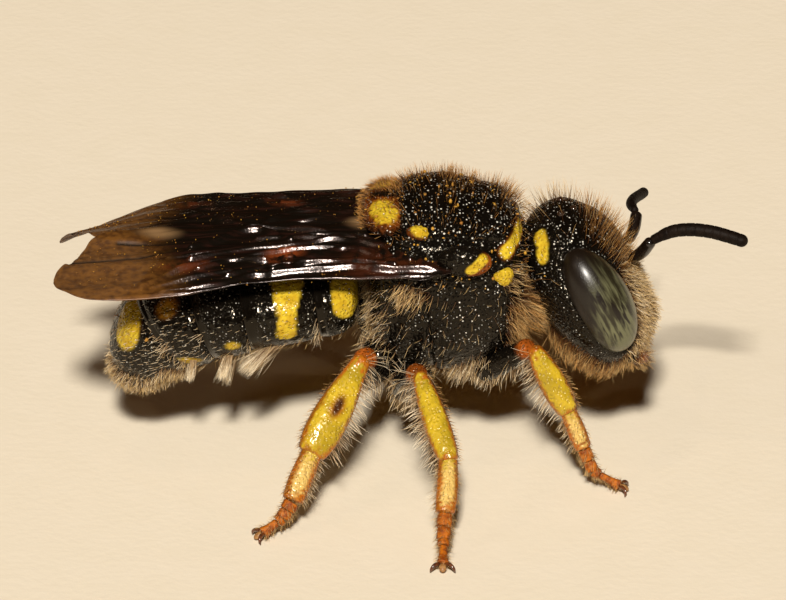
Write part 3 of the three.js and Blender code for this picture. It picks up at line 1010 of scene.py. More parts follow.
@dataclass
class Thorax:
    """The thorax: its main plates, the shield behind them and the collar in front."""

    sections: tuple[Section, ...] = (  # place along X, top, bottom, half width
        (1.68, 3.2, 2.45, 0.45), (1.63, 3.52, 2.13, 0.79), (1.41, 3.85, 1.78, 1.08),
        (1.1, 3.95, 1.56, 1.2), (0.75, 4.0, 1.41, 1.27), (0.38, 4.0, 1.38, 1.28),
        (0.02, 3.9, 1.44, 1.21), (-0.26, 3.68, 1.68, 1.03), (-0.42, 3.4, 1.97, 0.8),
        (-0.48, 3.08, 2.29, 0.5),
    )
    pit_spacing: float = 0.074
    side_pit_spacing: float = 0.1
    collar_mark: tuple[Point, ...] = (
        (1.66, 0.18, 3.53), (1.57, 0.54, 3.48), (1.42, 0.86, 3.38), (1.4, 0.9, 3.36),
    )
    shield_centre: Point = (-0.2, 0.0, 3.62)
    shield_spot: Point = (-0.26, 0.48, 3.8)
    tegula_centre: Point = (0.84, 1.2, 3.37)
    tegula_mark: tuple[Point, ...] = ((1.09, 1.3, 3.44), (0.93, 1.36, 3.3))
    tegula_rim: tuple[Point, ...] = ((1.16, 1.3, 3.38), (1.04, 1.36, 3.24))
    lobe_line: tuple[Point, ...] = (
        (1.24, 1.13, 3.1), (1.31, 1.09, 3.09), (1.4, 1.03, 3.06), (1.5, 0.95, 3.03)
    )
    axilla_centre: Point = (0.24, 0.88, 3.65)
    axilla_spot: Point = (0.25, 0.92, 3.7)

    def __post_init__(self) -> None:
        """Shapes the skins."""
        s = np.array(self.sections)
        middle = (s[:, 1] + s[:, 2]) / 2
        half_up = (s[:, 1] - s[:, 2]) / 2
        line = np.stack([s[:, 0], 0 * s[:, 0], middle], 1)
        self.form = Loft(line, s[:, 3], half_up, power=2.25, caps=(0.08, 0.08))
        self.shield_form = ovoid(self.shield_centre, (0, -1, 0), (-1, 0, 0), (0.84, 0.35, 0.25), 2.4)

    def build(self, finishes: Finishes) -> None:
        """Makes the plates."""
        self.plates(finishes)
        self.shield(finishes)
        for name, side in SIDES.items():
            self.wing_cap(finishes, name, side)
            self.front_lobe(finishes, name, side)
            self.axilla(finishes, name, side)

    def plates(self, finishes: Finishes) -> None:
        """The main plates, with their ridges, seams and pits."""
        body = Shell("thorax_plates", self.form, 304, 192)
        x, y, z = body.base.T
        turn = np.degrees(body.angle) % 360
        tilt = np.where(turn > 270, turn - 360, np.where(turn > 90, 180 - turn, turn))
        back = ease(-0.15, 0.05, x) * (1 - ease(1.3, 1.5, x))
        body.raise_by(0.03 * ease(41, 45, tilt) * back)
        body.raise_by(-0.05 * np.exp(-(((tilt - 35) / 6) ** 2)) * back)
        seam = np.exp(-(((x - 0.34 + 0.1 * (z - 2.4)) / 0.035) ** 2)) * (1 - ease(30, 36, tilt))
        body.raise_by(-0.05 * seam)
        collar = np.exp(-(((x - 1.5 - 0.1 * np.abs(y)) / 0.03) ** 2)) * ease(10, 30, tilt)
        body.raise_by(-0.03 * collar)
        body.pits(self.pit_spacing, 0.036, 0.012, 11, lambda u, a, p: ease(3.35, 3.5, p[:, 2] + 0 * u))
        body.pits(self.side_pit_spacing, 0.045, 0.018, 12, lambda u, a, p: 1 - ease(3.2, 3.35, p[:, 2]))
        # Painted glints: more pale dots on the back, and some everywhere.
        body.paint("painted_glint_density", ease(3.2, 3.45, z) + 0.3)
        body.paint("mark", self.comma(body.base, 0.085))
        body.paint("amber", 0.6 * self.comma(body.base, 0.105, 0.3))
        body.finish(finishes.black, "black_shell", "thorax", "pronotum", "propodeum")

    def comma(self, points: Array, half: float, soft: float = 0.2) -> Array:
        """The mark on each shoulder, for a half width and a softness of its edge."""
        paths = [mirrored(self.collar_mark, side) for side in SIDES.values()]
        return np.maximum(*(band(points, path, half, soft) for path in paths))

    def shield(self, finishes: Finishes) -> None:
        """The shield over the waist, with a yellow spot on each side of its amber rim."""
        shield = Shell("scutellum_shield", self.shield_form, 160, 104)
        shield.pits(self.pit_spacing, 0.034, 0.018, 13)
        uneven = shield.base + 0.035 * ripple(shield.base, 0.14, 18)[:, None]
        for side in SIDES.values():
            centre = mirror(self.shield_spot, side)
            shield.paint("mark", spot(uneven, centre, (0.35, side, 0), (0.28, 0.18), 0.25))
            shield.paint("amber", spot(uneven, centre, (0.3, side, 0), (0.35, 0.26), 0.4))
        shield.paint("amber", 0.6 * (1 - ease(-0.5, -0.4, shield.base[:, 0])))
        shield.finish(finishes.black, "black_shell", "scutellum")

    def wing_cap(self, finishes: Finishes, name: str, side: float) -> None:
        """The cap over a wing's root, with a mark and an amber rim in front."""
        form = ovoid(mirror(self.tegula_centre, side), (-1, 0, 0.06), (0, 1, 0), (0.38, 0.18, 0.22), 2.2)
        cap = Shell("tegula_plate_" + name, form, 80, 56)
        cap.pits(0.09, 0.026, 0.008, 15)
        cap.paint("mark", band(cap.base, mirrored(self.tegula_mark, side), 0.075))
        rim = mirrored(self.tegula_rim, side)
        cap.paint("amber", 0.9 * band(cap.base, rim, 0.13, 0.5))
        cap.finish(finishes.black, "black_shell", "tegula_" + name)

    def front_lobe(self, finishes: Finishes, name: str, side: float) -> None:
        """The yellow lobe in front of a wing cap, widest at its rear."""
        path = mirrored(self.lobe_line, side)
        form = Loft(path, [0.04, 0.09, 0.14, 0.13], [0.04, 0.07, 0.085, 0.07], (0.25, 0, 1), 2.3, (0.15, 0.3))
        lobe = Shell("pronotal_lobe_" + name, form, 64, 48)
        lobe.pits(0.05, 0.026, 0.012, 16)
        lobe.paint("mark", 1 - 0.8 * ease(0.78, 0.95, lobe.u))
        lobe.paint("amber", 0.8 * ease(0.6, 0.9, lobe.u) + 0.6 * (1 - ease(0.05, 0.2, lobe.u)))
        place(lobe.write(), finishes.black, "yellow_shell")

    def axilla(self, finishes: Finishes, name: str, side: float) -> None:
        """The small plate beside the shield."""
        middle = mirror(self.axilla_centre, side)
        form = ovoid(middle, (-1, 0.3 * side, 0.2), (0, 1, 0), (0.19, 0.13, 0.1), 2.2)
        plate = Shell("axilla_plate_" + name, form, 64, 48)
        plate.pits(0.06, 0.026, 0.01, 17)
        centre = mirror(self.axilla_spot, side)
        plate.paint("mark", spot(plate.base, centre, (1, -0.3 * side, -0.2), (0.15, 0.11)))
        plate.paint("amber", 0.5 + 0 * plate.u)
        place(plate.write(), finishes.black, "black_shell")

    def dress(self, top: Coat, sides: Coat) -> None:
        """Grows the hairs.

        Args:
            top: the piece for the back.
            sides: the piece for the flanks, the collar and the rear.
        """
        self.dress_back(top)
        self.dress_collar(sides)
        self.dress_flanks(sides)

    def dress_back(self, top: Coat) -> None:
        """Grows the pile of the back, longest in front, and the fringe of the shield."""

        def back(p: Array, n: Array, a: Array) -> Array:
            """Thin over the back, and thick along its left shoulder."""
            thick = ease(0.12, 0.3, p[:, 1]) * ease(0.8, 0.5, p[:, 1])
            return ease(3.45, 3.6, p[:, 2]) * (0.14 + 0.75 * thick)

        def collar(p: Array, n: Array, a: Array) -> Array:
            """The collar, except its marks."""
            return ease(1.5, 1.6, p[:, 0]) * ease(2.7, 2.9, p[:, 2]) * 0.4 * (1 - self.comma(p, 0.13))

        def shield(p: Array, n: Array, a: Array) -> Array:
            """The shield's rear rim and its left slope."""
            slope = 0.9 * ease(3.6, 3.7, p[:, 2]) * ease(0.0, 0.1, p[:, 1])
            return ease(-0.46, -0.54, p[:, 0]) + slope + 0.06

        pile = Lie((0.07, 0.22), 0.95, 0.9, (-0.3, 0.0, 1.0), 0.2, 0.0034, warm=0.85, rise=0.02)
        mane = Lie((0.12, 0.32), 0.95, 0.85, (0.3, 0, 1), 0.22, 0.0034, 0.15, 0.1, warm=0.8)
        short = Lie((0.06, 0.13), 0.7, 0.6, (1, 0, 0.2), 0.3, 0.0036, 0.15, 0.1, warm=0.95)
        fringe = Lie((0.06, 0.17), 0.65, 0.5, (-1, 0, 0.3), 0.35, 0.0038, 0.25, 0.1, warm=0.9)
        top.grow(self.form, 0.05, pile, back)
        top.grow(self.form, 0.04, mane, zone(x=(1.25, 1.5), z=(3.6, 3.75), y=(-0.25, 0.0)))
        top.grow(self.form, 0.07, short, collar)
        top.grow(self.shield_form, 0.034, fringe, shield)

    def dress_collar(self, sides: Coat) -> None:
        """Grows the beard between thorax and head, and the tuft before each lobe."""
        beard = Lie((0.16, 0.4), 0.6, 0.3, (0.6, 0, -0.8), 0.3, 0.0046, 0.4, 0.11, warm=0.66)
        ruff = Lie((0.34, 0.6), 0.75, 0.5, (1, 0, -0.5), 0.3, 0.0046, 0.4, 0.12, warm=0.7)
        tuft = Lie((0.12, 0.26), 0.6, 0.5, (1, 0, -0.3), 0.3, 0.004, 0.2, 0.1, warm=0.5)
        sides.grow(self.form, 0.036, beard, zone(x=(1.36, 1.55), z=(2.8, 2.5)))
        sides.grow(self.form, 0.036, ruff, zone(0.9, x=(1.55, 1.62), z=(2.75, 2.6)))
        sides.grow(self.form, 0.05, tuft, both_sides((1.5, 0.95, 3.0), (0, 0, 1), (0.26, 0.14)))

    def dress_flanks(self, sides: Coat) -> None:
        """Grows the hair of the breast, the flanks, the tuft under each wing and the rear."""

        def flank(p: Array, n: Array, a: Array) -> Array:
            """The sides, thicker towards the underside."""
            return (1 - ease(3.2, 3.4, p[:, 2])) * (0.25 + 0.5 * ease(1.8, 1.6, p[:, 2]))

        wool = Lie((0.2, 0.42), 0.5, 0.25, (-0.2, 0, -1), 0.28, 0.005, 0.4, 0.11, warm=0.15)
        thin = Lie((0.08, 0.2), 0.7, 0.5, (-0.6, 0, -0.6), 0.35, 0.0036, warm=0.35)
        tuft = Lie((0.14, 0.34), 0.5, 0.2, (-0.5, 0, -1), 0.4, 0.0046, 0.5, 0.09, warm=0.45)
        down = Lie((0.1, 0.25), 0.6, 0.4, (-0.6, 0, -0.6), 0.3, 0.004, 0.3, 0.12, warm=0.3)
        sides.grow(self.form, 0.036, wool, zone(z=(1.8, 1.6), x=(0.6, 0.9)))
        sides.grow(self.form, 0.09, thin, flank)
        sides.grow(self.form, 0.034, tuft, both_sides((0.1, 1.22, 2.9), (1, 0, -0.1), (0.3, 0.13)))
        sides.grow(self.form, 0.07, down, zone(x=(-0.12, -0.3), z=(3.0, 2.6)))


@dataclass
class Abdomen:
    """Six rings that lap over each other towards the tip."""

    sections: tuple[Section, ...] = (  # X and height of the middle, half height, half width
        (-0.58, 2.53, 0.42, 0.82), (-0.84, 2.52, 0.54, 1.0), (-1.2, 2.47, 0.59, 1.09),
        (-1.7, 2.41, 0.64, 1.15), (-2.25, 2.31, 0.67, 1.15), (-2.75, 2.17, 0.69, 1.07),
        (-3.15, 1.97, 0.69, 0.94), (-3.45, 1.66, 0.6, 0.76), (-3.6, 1.28, 0.43, 0.52),
        (-3.62, 0.98, 0.18, 0.23),
    )
    cuts: tuple[float, ...] = (0.0, 0.22, 0.43, 0.56, 0.7, 0.885, 1.0)
    lap: float = 0.03
    bars: tuple[tuple[float, tuple[Span, ...]], ...] = (  # X, then half width at each height
        (-0.76, ((2.42, 0.05), (2.5, 0.16), (2.62, 0.2), (2.95, 0.22))),
        (
            -1.58,
            ((2.15, 0.08), (2.2, 0.13), (2.32, 0.135), (2.5, 0.12), (2.66, 0.15), (2.85, 0.21), (3.0, 0.22)),
        ),
    )
    dots: tuple[tuple[Point, Span], ...] = (
        ((-2.32, 1.07, 2.06), (0.1, 0.08)), ((-2.91, 0.86, 1.74), (0.16, 0.08))
    )
    amber_dot: Point = (-3.22, 0.75, 2.47)
    tail_mark: tuple[Point, ...] = ((-3.83, 0.3, 2.42), (-3.81, 0.42, 2.2), (-3.78, 0.51, 2.02))
    brush_rows: tuple[tuple[float, float, int, float, float], ...] = (  # X, length, hairs, half size, lean
        (-1.78, 0.62, 170, 0.04, 0.85), (-2.36, 0.46, 120, 0.028, 0.35), (-2.84, 0.34, 80, 0.024, 0.25),
    )
    brush_places: tuple[float, ...] = (-0.85, -0.6, -0.3, 0.0, 0.3, 0.6, 0.85)

    def __post_init__(self) -> None:
        """Shapes the rings."""
        s = np.array(self.sections)
        self.centres = np.stack([s[:, 0], 0 * s[:, 0], s[:, 1]], 1)
        self.half_side, self.half_up = s[:, 3], s[:, 2]
        self.last = len(self.cuts) - 2
        self.forms = [self.ring(k) for k in range(self.last + 1)]

    def ring(self, k: int) -> Loft:
        """Shape of one ring, whose front end tucks under the ring before."""
        first, last = k == 0, k == self.last

        def swell(local: Array, angle: Array) -> Array:
            """How full the ring is along its own length."""
            tuck = 1.0 if first else 0.92 + 0.08 * ease(0.0, 0.3, local)
            rim = 0.0 if last else 0.022 * ease(0.84, 0.9, local)
            return tuck + 0.014 * np.sin(math.pi * local) - rim

        return Loft(
            self.centres,
            self.half_side,
            self.half_up,
            power=2.3 if first else 2.1,
            caps=(0.22 if first else 0.05, 0.45 if last else 0.03),
            span=(0.0 if first else self.cuts[k] - self.lap, self.cuts[k + 1]),
            swell=swell,
        )

    def build(self, finishes: Finishes) -> None:
        """Makes the rings, pits them in ovals from the fourth one on, and paints their spots."""
        for k, form in enumerate(self.forms):
            ring = Shell(f"abdomen_ring_{k + 1}", form, 208, 64)
            oval = ((0, -0.5, 1), 1.9 if k >= 3 else 1.0)
            ring.pits(0.066, 0.028, 0.014, 20 + k, partial(self.pitted, form, k), oval)
            self.paint(ring, k)
            ring.finish(finishes.black, "black_shell", f"abdomen_{k + 1}")

    def pitted(self, form: Loft, k: int, u: Array, angle: Array, points: Array) -> Array:
        """Where a ring has pits: on its disc, and not on its smooth rear rim."""
        local = form.local(u)
        return ease(0.06, 0.14, local) * (1 - ease(0.78, 0.84, local) * (k < self.last))

    def paint(self, ring: Shell, k: int) -> None:
        """Paints the smooth rims and the spots of one ring."""
        p = ring.base
        local = ring.form.local(ring.u)
        if k == self.last:
            disc = ease(0.1, 0.2, local)
        else:
            disc = ease(0.1, 0.16, local) * (1 - ease(0.8, 0.86, local))
        ring.paint("smooth", 1 - disc)
        for side in SIDES.values():
            if k < 2:
                ring.paint("mark", self.bar(p, side, *self.bars[k]))
            elif k < 4:
                centre, half = self.dots[k - 2]
                ring.paint("mark", spot(p, mirror(centre, side), (1, 0, 0), half, 0.4))
            if k == 3:
                centre = mirror(self.amber_dot, side)
                ring.paint("amber", spot(p, centre, (1, 0, 0), (0.17, 0.14), 0.4))
                ring.paint("mark", 0.3 * spot(p, centre, (1, 0, 0), (0.15, 0.12), 0.5))
            if k == 4:
                path = mirrored(self.tail_mark, side)
                ring.paint("mark", 0.85 * band(p, path, 0.26, 0.12))
                ring.paint("amber", 0.5 * band(p, path, 0.26, 0.3) * ease(1.95, 2.3, p[:, 2]))

    def bar(self, points: Array, side: float, middle: float, heights: tuple[Span, ...]) -> Array:
        """Upright mark on one side of a ring.

        Args:
            points: the surface's points.
            side: -1 right, 1 left.
            middle: its place along X.
            heights: half width at each height, from its foot up.

        Returns:
            1 inside the mark and 0 outside it.
        """
        table = np.array(heights)
        foot = table[0, 0]
        half = np.interp(points[:, 2], table[:, 0], table[:, 1])
        wobble = 0.012 * ripple(points, 0.12, 71)
        inside = 1 - ease(-0.02, 0.02, np.abs(points[:, 0] - middle) - half + wobble)
        return inside * ease(foot - 0.02, foot + 0.02, points[:, 2] + wobble) * (points[:, 1] * side > 0.25)

    def dress(self, coat: Coat) -> None:
        """Grows the hairs of the rings, the tufts of their rims and the fringe of the tip."""
        low = Lie((0.08, 0.18), 0.5, 0.3, (-0.9, 0, -0.4), 0.25, 0.004, 0.3, 0.12, warm=0.4)
        flat = Lie((0.05, 0.09), 0.3, 0.12, (-1, 0, -0.3), 0.1, 0.004, warm=0.12)
        tuft = Lie((0.14, 0.34), 0.45, 0.25, (-1, 0, -0.9), 0.28, 0.0046, 0.35, 0.09, warm=0.12)
        rim = Lie((0.08, 0.22), 0.65, 0.4, (-0.3, 0, -1), 0.32, 0.0042, 0.35, 0.09, warm=0.3)
        for k, form in enumerate(self.forms):
            share = 0.14 + 0.5 * (k > 2)
            coat.grow(form, 0.074, flat, partial(self.upper, share))
            coat.grow(form, 0.12, low, zone(nz=(-0.6, -0.85)))
        for k in range(4):
            coat.grow(self.forms[k], 0.036, tuft, partial(self.tufted, self.rear_of(k)))
        fourth, fifth, sixth = self.forms[3:]
        coat.grow(sixth, 0.034, rim, zone(0.9))
        coat.grow(fifth, 0.042, rim, lambda p, n, a: ease(1.15, 1.0, p[:, 2]) + 0.8 * (n[:, 2] < -0.6))
        coat.grow(fourth, 0.06, rim, zone(nz=(-0.4, -0.7), x=(-2.9, -3.1)))

    def upper(self, share: float, p: Array, n: Array, a: Array) -> Array:
        """Chance of a hair on the sides of a ring, for its share of hairs."""
        return share * ease(2.7, 2.2, p[:, 2]) * (n[:, 2] > -0.6)

    def tufted(self, rear: float, p: Array, n: Array, a: Array) -> Array:
        """Chance of a hair low on the rim of a ring that ends at a place along X."""
        return ease(rear + 0.1, rear, p[:, 0]) * ease(0.0, -0.3, n[:, 2]) * (n[:, 2] > -0.75)

    def brushes(self, coat: Coat) -> None:
        """Grows the pale brushes of the underside, each a wedge of long hairs."""
        rng = coat.rng
        for x, length, count, size, lean in self.brush_rows:
            stand = 1 - lean * 0.6
            lie = Lie((0, 0), stand, stand, stray=0.15, radius=0.0046, clump=0.45, clump_size=0.3, warm=0.05)
            u = np.clip((x + 0.6) / -3.2, 0.05, 0.95)
            for across in self.brush_places:
                root = np.array([x + 0.03 * rng.normal(), across, self.under(x, across) + 0.02])
                spread = rng.normal(size=(count, 3)) * np.array([size, size * 1.2, 0.02])
                roots = root + spread
                normals = unit(np.array([[0.0, across * 0.3, -1.0]])) + 0 * roots
                sweep = unit(np.array([[-1.0, 0, -0.1]])) + 0 * roots
                reach = length * rng.uniform(0.75, 1.1, count) * rng.uniform(0.85, 1.1)
                patches = np.array([0.75 + across * 0.2, u]) * 0.94 / coat.tiles + spread[:, :2] * 0.05
                coat.strands(roots, normals, sweep, reach, lie, patches)

    def under(self, x: float, across: float) -> float:
        """Height of the underside at a place."""
        share = np.linspace(0, 1, 200)
        line = through(self.centres, share)
        at = int(np.argmin(np.abs(line[:, 0] - x)))
        half_side, half_up = (float(through(half, share)[at]) for half in (self.half_side, self.half_up))
        fall = max(1 - (across / half_side) ** 2, 0.0) ** 0.5
        return float(line[at, 2]) - half_up * fall

    def rear_of(self, k: int) -> float:
        """Place along X of a ring's rear end."""
        return float(through(self.centres, np.array([self.cuts[k + 1]]))[0, 0])


@dataclass
class Head:
    """The head: capsule, eyes, small eyes, face plate and jaws.

    Places in its fields are counted forward, sideways and up from its centre, except the temple mark's.
    """

    centre: Point = (2.53, 0.0, 2.49)
    pitch: float = math.radians(27)
    half: Point = (0.69, 1.24, 1.17)
    power: float = 2.15
    eye_place: Point = (0.2, 0.86, 0.08)
    eye_half: Point = (0.82, 0.45, 0.415)
    eye_turn: float = math.radians(16)
    left_eye_sunk: float = 0.05
    temple_mark: tuple[Point, ...] = ((1.93, 0.46, 3.38), (1.98, 0.58, 3.29), (1.93, 0.7, 3.19))
    jaw_line: tuple[Point, ...] = (
        (0.16, 0.62, -0.9), (0.24, 0.5, -1.06), (0.27, 0.3, -1.18), (0.25, 0.08, -1.24)
    )

    def __post_init__(self) -> None:
        """Works out the directions of the face and its skin."""
        self.forward = np.array([math.cos(self.pitch), 0, math.sin(self.pitch)])
        self.crown = np.array([-math.sin(self.pitch), 0, math.cos(self.pitch)])
        deep, wide, tall = self.half
        self.form = ovoid(self.centre, (0, 1, 0), self.forward, (wide, deep, tall), self.power)
        middle = self.spot_at(0.43, 0, -0.52)
        self.plate_form = ovoid(middle, (0, 1, 0), self.forward, (0.56, 0.26, 0.42), 2.3)
        self.jaw_forms: dict[str, Loft] = {}

    def spot_at(self, forward: float, side: float, up: float) -> Array:
        """A place counted from the head's centre."""
        return np.array(self.centre) + self.forward * forward + np.array([0, side, 0]) + self.crown * up

    def local(self, points: Array) -> Array:
        """Forward, side and up parts of points, counted from the head's centre."""
        away = points - np.array(self.centre)
        return np.stack([away @ self.forward, away[..., 1], away @ self.crown], -1)

    def eye_axes(self, side: float) -> tuple[Array, Array, Array, Array]:
        """Middle of an eye and its directions of length, bulge and breadth, for a side."""
        middle = self.spot_at(self.eye_place[0], side * self.eye_place[1], self.eye_place[2])
        bulge = np.array([0, side, 0]) * math.cos(self.eye_turn) + self.forward * math.sin(self.eye_turn)
        return middle, -self.crown, bulge, np.cross(-self.crown, bulge)

    def eye_reach(self, points: Array, side: float) -> Array:
        """How far points are from an eye's middle: 1 on its surface."""
        middle, length, bulge, breadth = self.eye_axes(side)
        away = points - middle
        parts = [away @ axis / half for axis, half in zip((length, bulge, breadth), self.eye_half)]
        return np.sqrt(sum(part**2 for part in parts))

    def nearest_eye(self, points: Array) -> Array:
        """How far points are from the middle of the nearer eye."""
        return np.minimum(*(self.eye_reach(points, side) for side in SIDES.values()))

    def build(self, finishes: Finishes) -> None:
        """Makes the pieces."""
        self.skull(finishes)
        self.face_plate(finishes)
        self.ocelli(finishes)
        for name, side in SIDES.items():
            self.eye(finishes, name, side)
            self.jaw(finishes, name, side)

    def skull(self, finishes: Finishes) -> None:
        """The capsule, with a groove around each eye and a flat back."""
        skull = Shell("head_capsule", self.form, 304, 192)
        away = self.nearest_eye(skull.base)
        skull.raise_by(-0.03 * np.exp(-(((away - 1.04) / 0.04) ** 2)))
        skull.raise_by(0.008 * np.exp(-(((away - 1.14) / 0.05) ** 2)))
        forward, _, up = self.local(skull.base).T
        skull.raise_by(-0.12 * ease(-0.35, -0.66, forward) * ease(0.2, -0.8, up))
        skull.raise_by(self.brow(skull.base))
        skull.pits(0.066, 0.03, 0.016, 31, lambda u, a, p: 0.35 + 0.65 * ease(-0.3, 0.1, self.local(p)[:, 2]))
        # Painted glints: more pale dots on the crown.
        skull.paint("painted_glint_density", 0.8 * ease(0.2, 0.7, up))
        for side in SIDES.values():
            temple = mirrored(self.temple_mark, side)
            skull.paint("mark", band(skull.base, temple, 0.082, 0.3))
        skull.finish(finishes.black, "black_shell", "head")

    def brow(self, points: Array) -> Array:
        """How far the crown swells, and the brow a little."""
        forward, side, up = self.local(points).T
        wide = 1 - ease(0.45, 0.85, np.abs(side))
        crown = 0.1 * ease(-0.6, -0.25, forward) * (1 - ease(0.1, 0.42, forward))
        brow = 0.05 * ease(0.1, 0.42, forward) * (1 - ease(0.5, 0.66, forward))
        return (crown + brow) * ease(0.3, 0.7, up) * wide

    def face_plate(self, finishes: Finishes) -> None:
        """The plate above the jaws."""
        plate = Shell("clypeus_plate", self.plate_form, 112, 80)
        plate.pits(0.07, 0.028, 0.012, 33)
        plate.finish(finishes.black, "black_shell", "clypeus")

    def ocelli(self, finishes: Finishes) -> None:
        """Three small glossy eyes on the crown."""
        deep, wide, tall = self.half
        power = self.power
        beads = []
        for k, (side, forward) in enumerate(((0, 0.34), (0.24, 0.2), (-0.24, 0.2))):
            up = tall * (1 - (abs(forward) / deep) ** power - (abs(side) / wide) ** power) ** (1 / power)
            middle = self.spot_at(forward, side, up)
            middle = middle + self.crown * self.brow(middle[None])[0]
            form = ovoid(middle, (0, 1, 0), self.forward, (0.056, 0.056, 0.05))
            beads.append(Shell(f"ocellus_{k}", form, 32, 24))
        group(beads, "ocelli", finishes.ocellus, "eye")

    def eye(self, finishes: Finishes, name: str, side: float) -> None:
        """One of the two large eyes."""
        middle, length, bulge, breadth = self.eye_axes(side)
        middle = middle - (bulge + self.crown) * (self.left_eye_sunk if side > 0 else 0.0)
        ends = [middle + length * self.eye_half[0] * k for k in (-1, -0.33, 0.33, 1)]
        fullness = np.array([0.92, 1.0, 1.05, 1.04])
        form = Loft(ends, self.eye_half[1] * fullness, self.eye_half[2] * fullness, tuple(bulge), 2.05)
        eye = Shell("eye_lens_" + name, form, 120, 96)
        away = eye.base - middle
        across = away @ breadth / self.eye_half[2] * np.sign(breadth[0])
        eye.paint("share", eye.u)
        eye.paint("turn", 0.5 + 0.42 * across)
        eye.paint("dusk", 1 - ease(0.12, 0.62, eye.u + 0.22 * across) + 0.75 * ease(-0.2, -0.9, across))
        middle_part = ease(0.25, 0.4, eye.u) * (1 - ease(0.7, 0.85, eye.u))
        eye.paint("dashes", middle_part * (1 - ease(0.5, 0.9, abs(across))))
        # Paler lower part, partly painted reflection of the floor.
        eye.paint("paler_below_and_reflection", ease(0.4, 0.8, eye.u))
        eye.finish(finishes.eye, "eye", "eye_" + name)

    def jaw(self, finishes: Finishes, name: str, side: float) -> None:
        """A mandible, amber towards its middle and dark at its teeth."""
        points = [self.spot_at(forward, side * out, up) for forward, out, up in self.jaw_line]
        wide, deep = [0.14, 0.13, 0.11, 0.07], [0.12, 0.1, 0.08, 0.05]
        form = Loft(points, wide, deep, tuple(self.crown), 2.2, (0.1, 0.15))
        self.jaw_forms[name] = form
        jaw = Shell("jaw_" + name, form, 64, 56)
        jaw.pits(0.07, 0.02, 0.006, 35)
        jaw.paint("amber", ease(0.2, 0.5, jaw.u) * (1 - ease(0.75, 0.95, jaw.u)))
        jaw.finish(finishes.black, "black_shell", "mandible_" + name)

    def dress(self, front: Coat, back: Coat) -> None:
        """Grows the hairs.

        Args:
            front: the piece for the face and crown.
            back: the piece for the cheeks and the beard.
        """

        def bare(p: Array) -> Array:
            """0 on the eyes and 1 away from them."""
            return ease(1.03, 1.1, self.nearest_eye(p))

        def part(**limits: Span) -> Where:
            """Part of the head away from the eyes, by limits forward and up from its centre."""

            def chance(p: Array, n: Array, a: Array) -> Array:
                """The product of what the limits allow."""
                axes = dict(zip(("forward", "side", "up"), self.local(p).T))
                return math.prod((ease(*limit, axes[key]) for key, limit in limits.items()), start=bare(p))

            return chance

        def behind(p: Array, n: Array, a: Array) -> Array:
            """The crown behind the small eyes."""
            forward, side, up = self.local(p).T
            return bare(p) * ease(0.4, 0.2, forward) * ease(0.5, 0.8, up) * (0.12 + ease(0.0, 0.25, side))

        def cheek(p: Array, n: Array, a: Array) -> Array:
            """The hind edge of the cheek, below the neck."""
            line = 2.56 - 0.83 * (p[:, 0] - 1.84)
            return bare(p) * ease(0.02, -0.1, p[:, 2] - line) * ease(-0.2, -0.5, self.local(p)[:, 2] - 0.1)

        down = tuple(-self.crown + 0.35 * self.forward)
        upward = tuple(self.crown + 0.3 * self.forward)
        mask = Lie((0.09, 0.24), 0.6, 0.35, down, 0.36, 0.0044, 0.35, 0.09, warm=0.3)
        plate = Lie((0.08, 0.22), 0.7, 0.45, down, 0.4, 0.0044, 0.35, 0.09, warm=0.36)
        quiff = Lie((0.14, 0.4), 0.8, 0.7, upward, 0.2, 0.0034, 0.25, 0.1, warm=0.78)
        crest = Lie((0.12, 0.36), 0.95, 0.9, (-0.2, 0, 1), 0.2, 0.0032, warm=0.6)
        whiskers = Lie((0.06, 0.2), 0.6, 0.4, down, 0.35, 0.0042, 0.3, 0.09, warm=0.5)
        front.grow(self.form, 0.027, mask, part(forward=(0.1, 0.3), up=(0.3, 0.05)))
        front.grow(self.plate_form, 0.034, plate, lambda p, n, a: 0.9 * (n @ self.forward > 0))
        front.grow(self.form, 0.052, quiff, part(forward=(0.32, 0.46), up=(-0.05, 0.25)), self.brow)
        front.grow(self.form, 0.06, crest, behind, self.brow)
        for form in self.jaw_forms.values():
            front.grow(form, 0.045, whiskers, zone(0.8))
        beard = Lie((0.12, 0.44), 0.5, 0.3, (-0.35, 0, -0.9), 0.36, 0.0044, 0.6, 0.12, warm=0.68)
        under = Lie((0.14, 0.34), 0.5, 0.3, (0.1, 0, -1), 0.4, 0.0044, 0.6, 0.13, warm=0.55)
        back.grow(self.form, 0.034, beard, cheek)
        back.grow(self.form, 0.036, under, part(up=(-0.75, -0.95)))


@dataclass(frozen=True)
class Feeler:
    """One feeler: a long first joint, a short second one and ten beads."""

    name: str
    base: Point
    elbow: Point
    lash: tuple[Point, ...]
    fullness: float = 1.0
    radius: float = 0.092
    joints: int = 11

    def build(self, finishes: Finishes) -> None:
        """Makes the feeler."""
        base, elbow = np.array(self.base), np.array(self.elbow)
        middle = (base + elbow) / 2 + np.array([0.02, 0, -0.02])
        wide = [0.07, 0.088, 0.08]
        form = Loft([base, middle, elbow], wide, wide, (1, 0.3, 0), 2.0, (0.12, 0.12))
        scape = Shell("scape_joint_" + self.name, form, 40, 48)
        scape.pits(0.05, 0.016, 0.004, 41)
        scape.finish(finishes.scape, "feeler", "scape_" + self.name)
        wide = self.radius * np.array([0.78, 0.95, 1.0, 1.0, 1.0, 0.95]) * self.fullness
        form = Loft(self.lash, wide, wide, (0, 0, 1), 2.0, (0.03, 0.06), swell=self.beads)
        joint = Shell("flagellum_joints_" + self.name, form, 40, 200)
        joint.finish(finishes.feeler, "feeler", "flagellum_" + self.name)

    def beads(self, local: Array, angle: Array) -> Array:
        """Waists between the beads, and a narrow second joint."""
        part = local * self.joints
        inside = (part > 0.5) * (part < self.joints - 0.5)
        waist = np.exp(-(((part - np.round(part)) / 0.07) ** 2)) * inside
        return (1 - 0.07 * waist) * (0.9 + 0.1 * ease(0.06, 0.16, local))


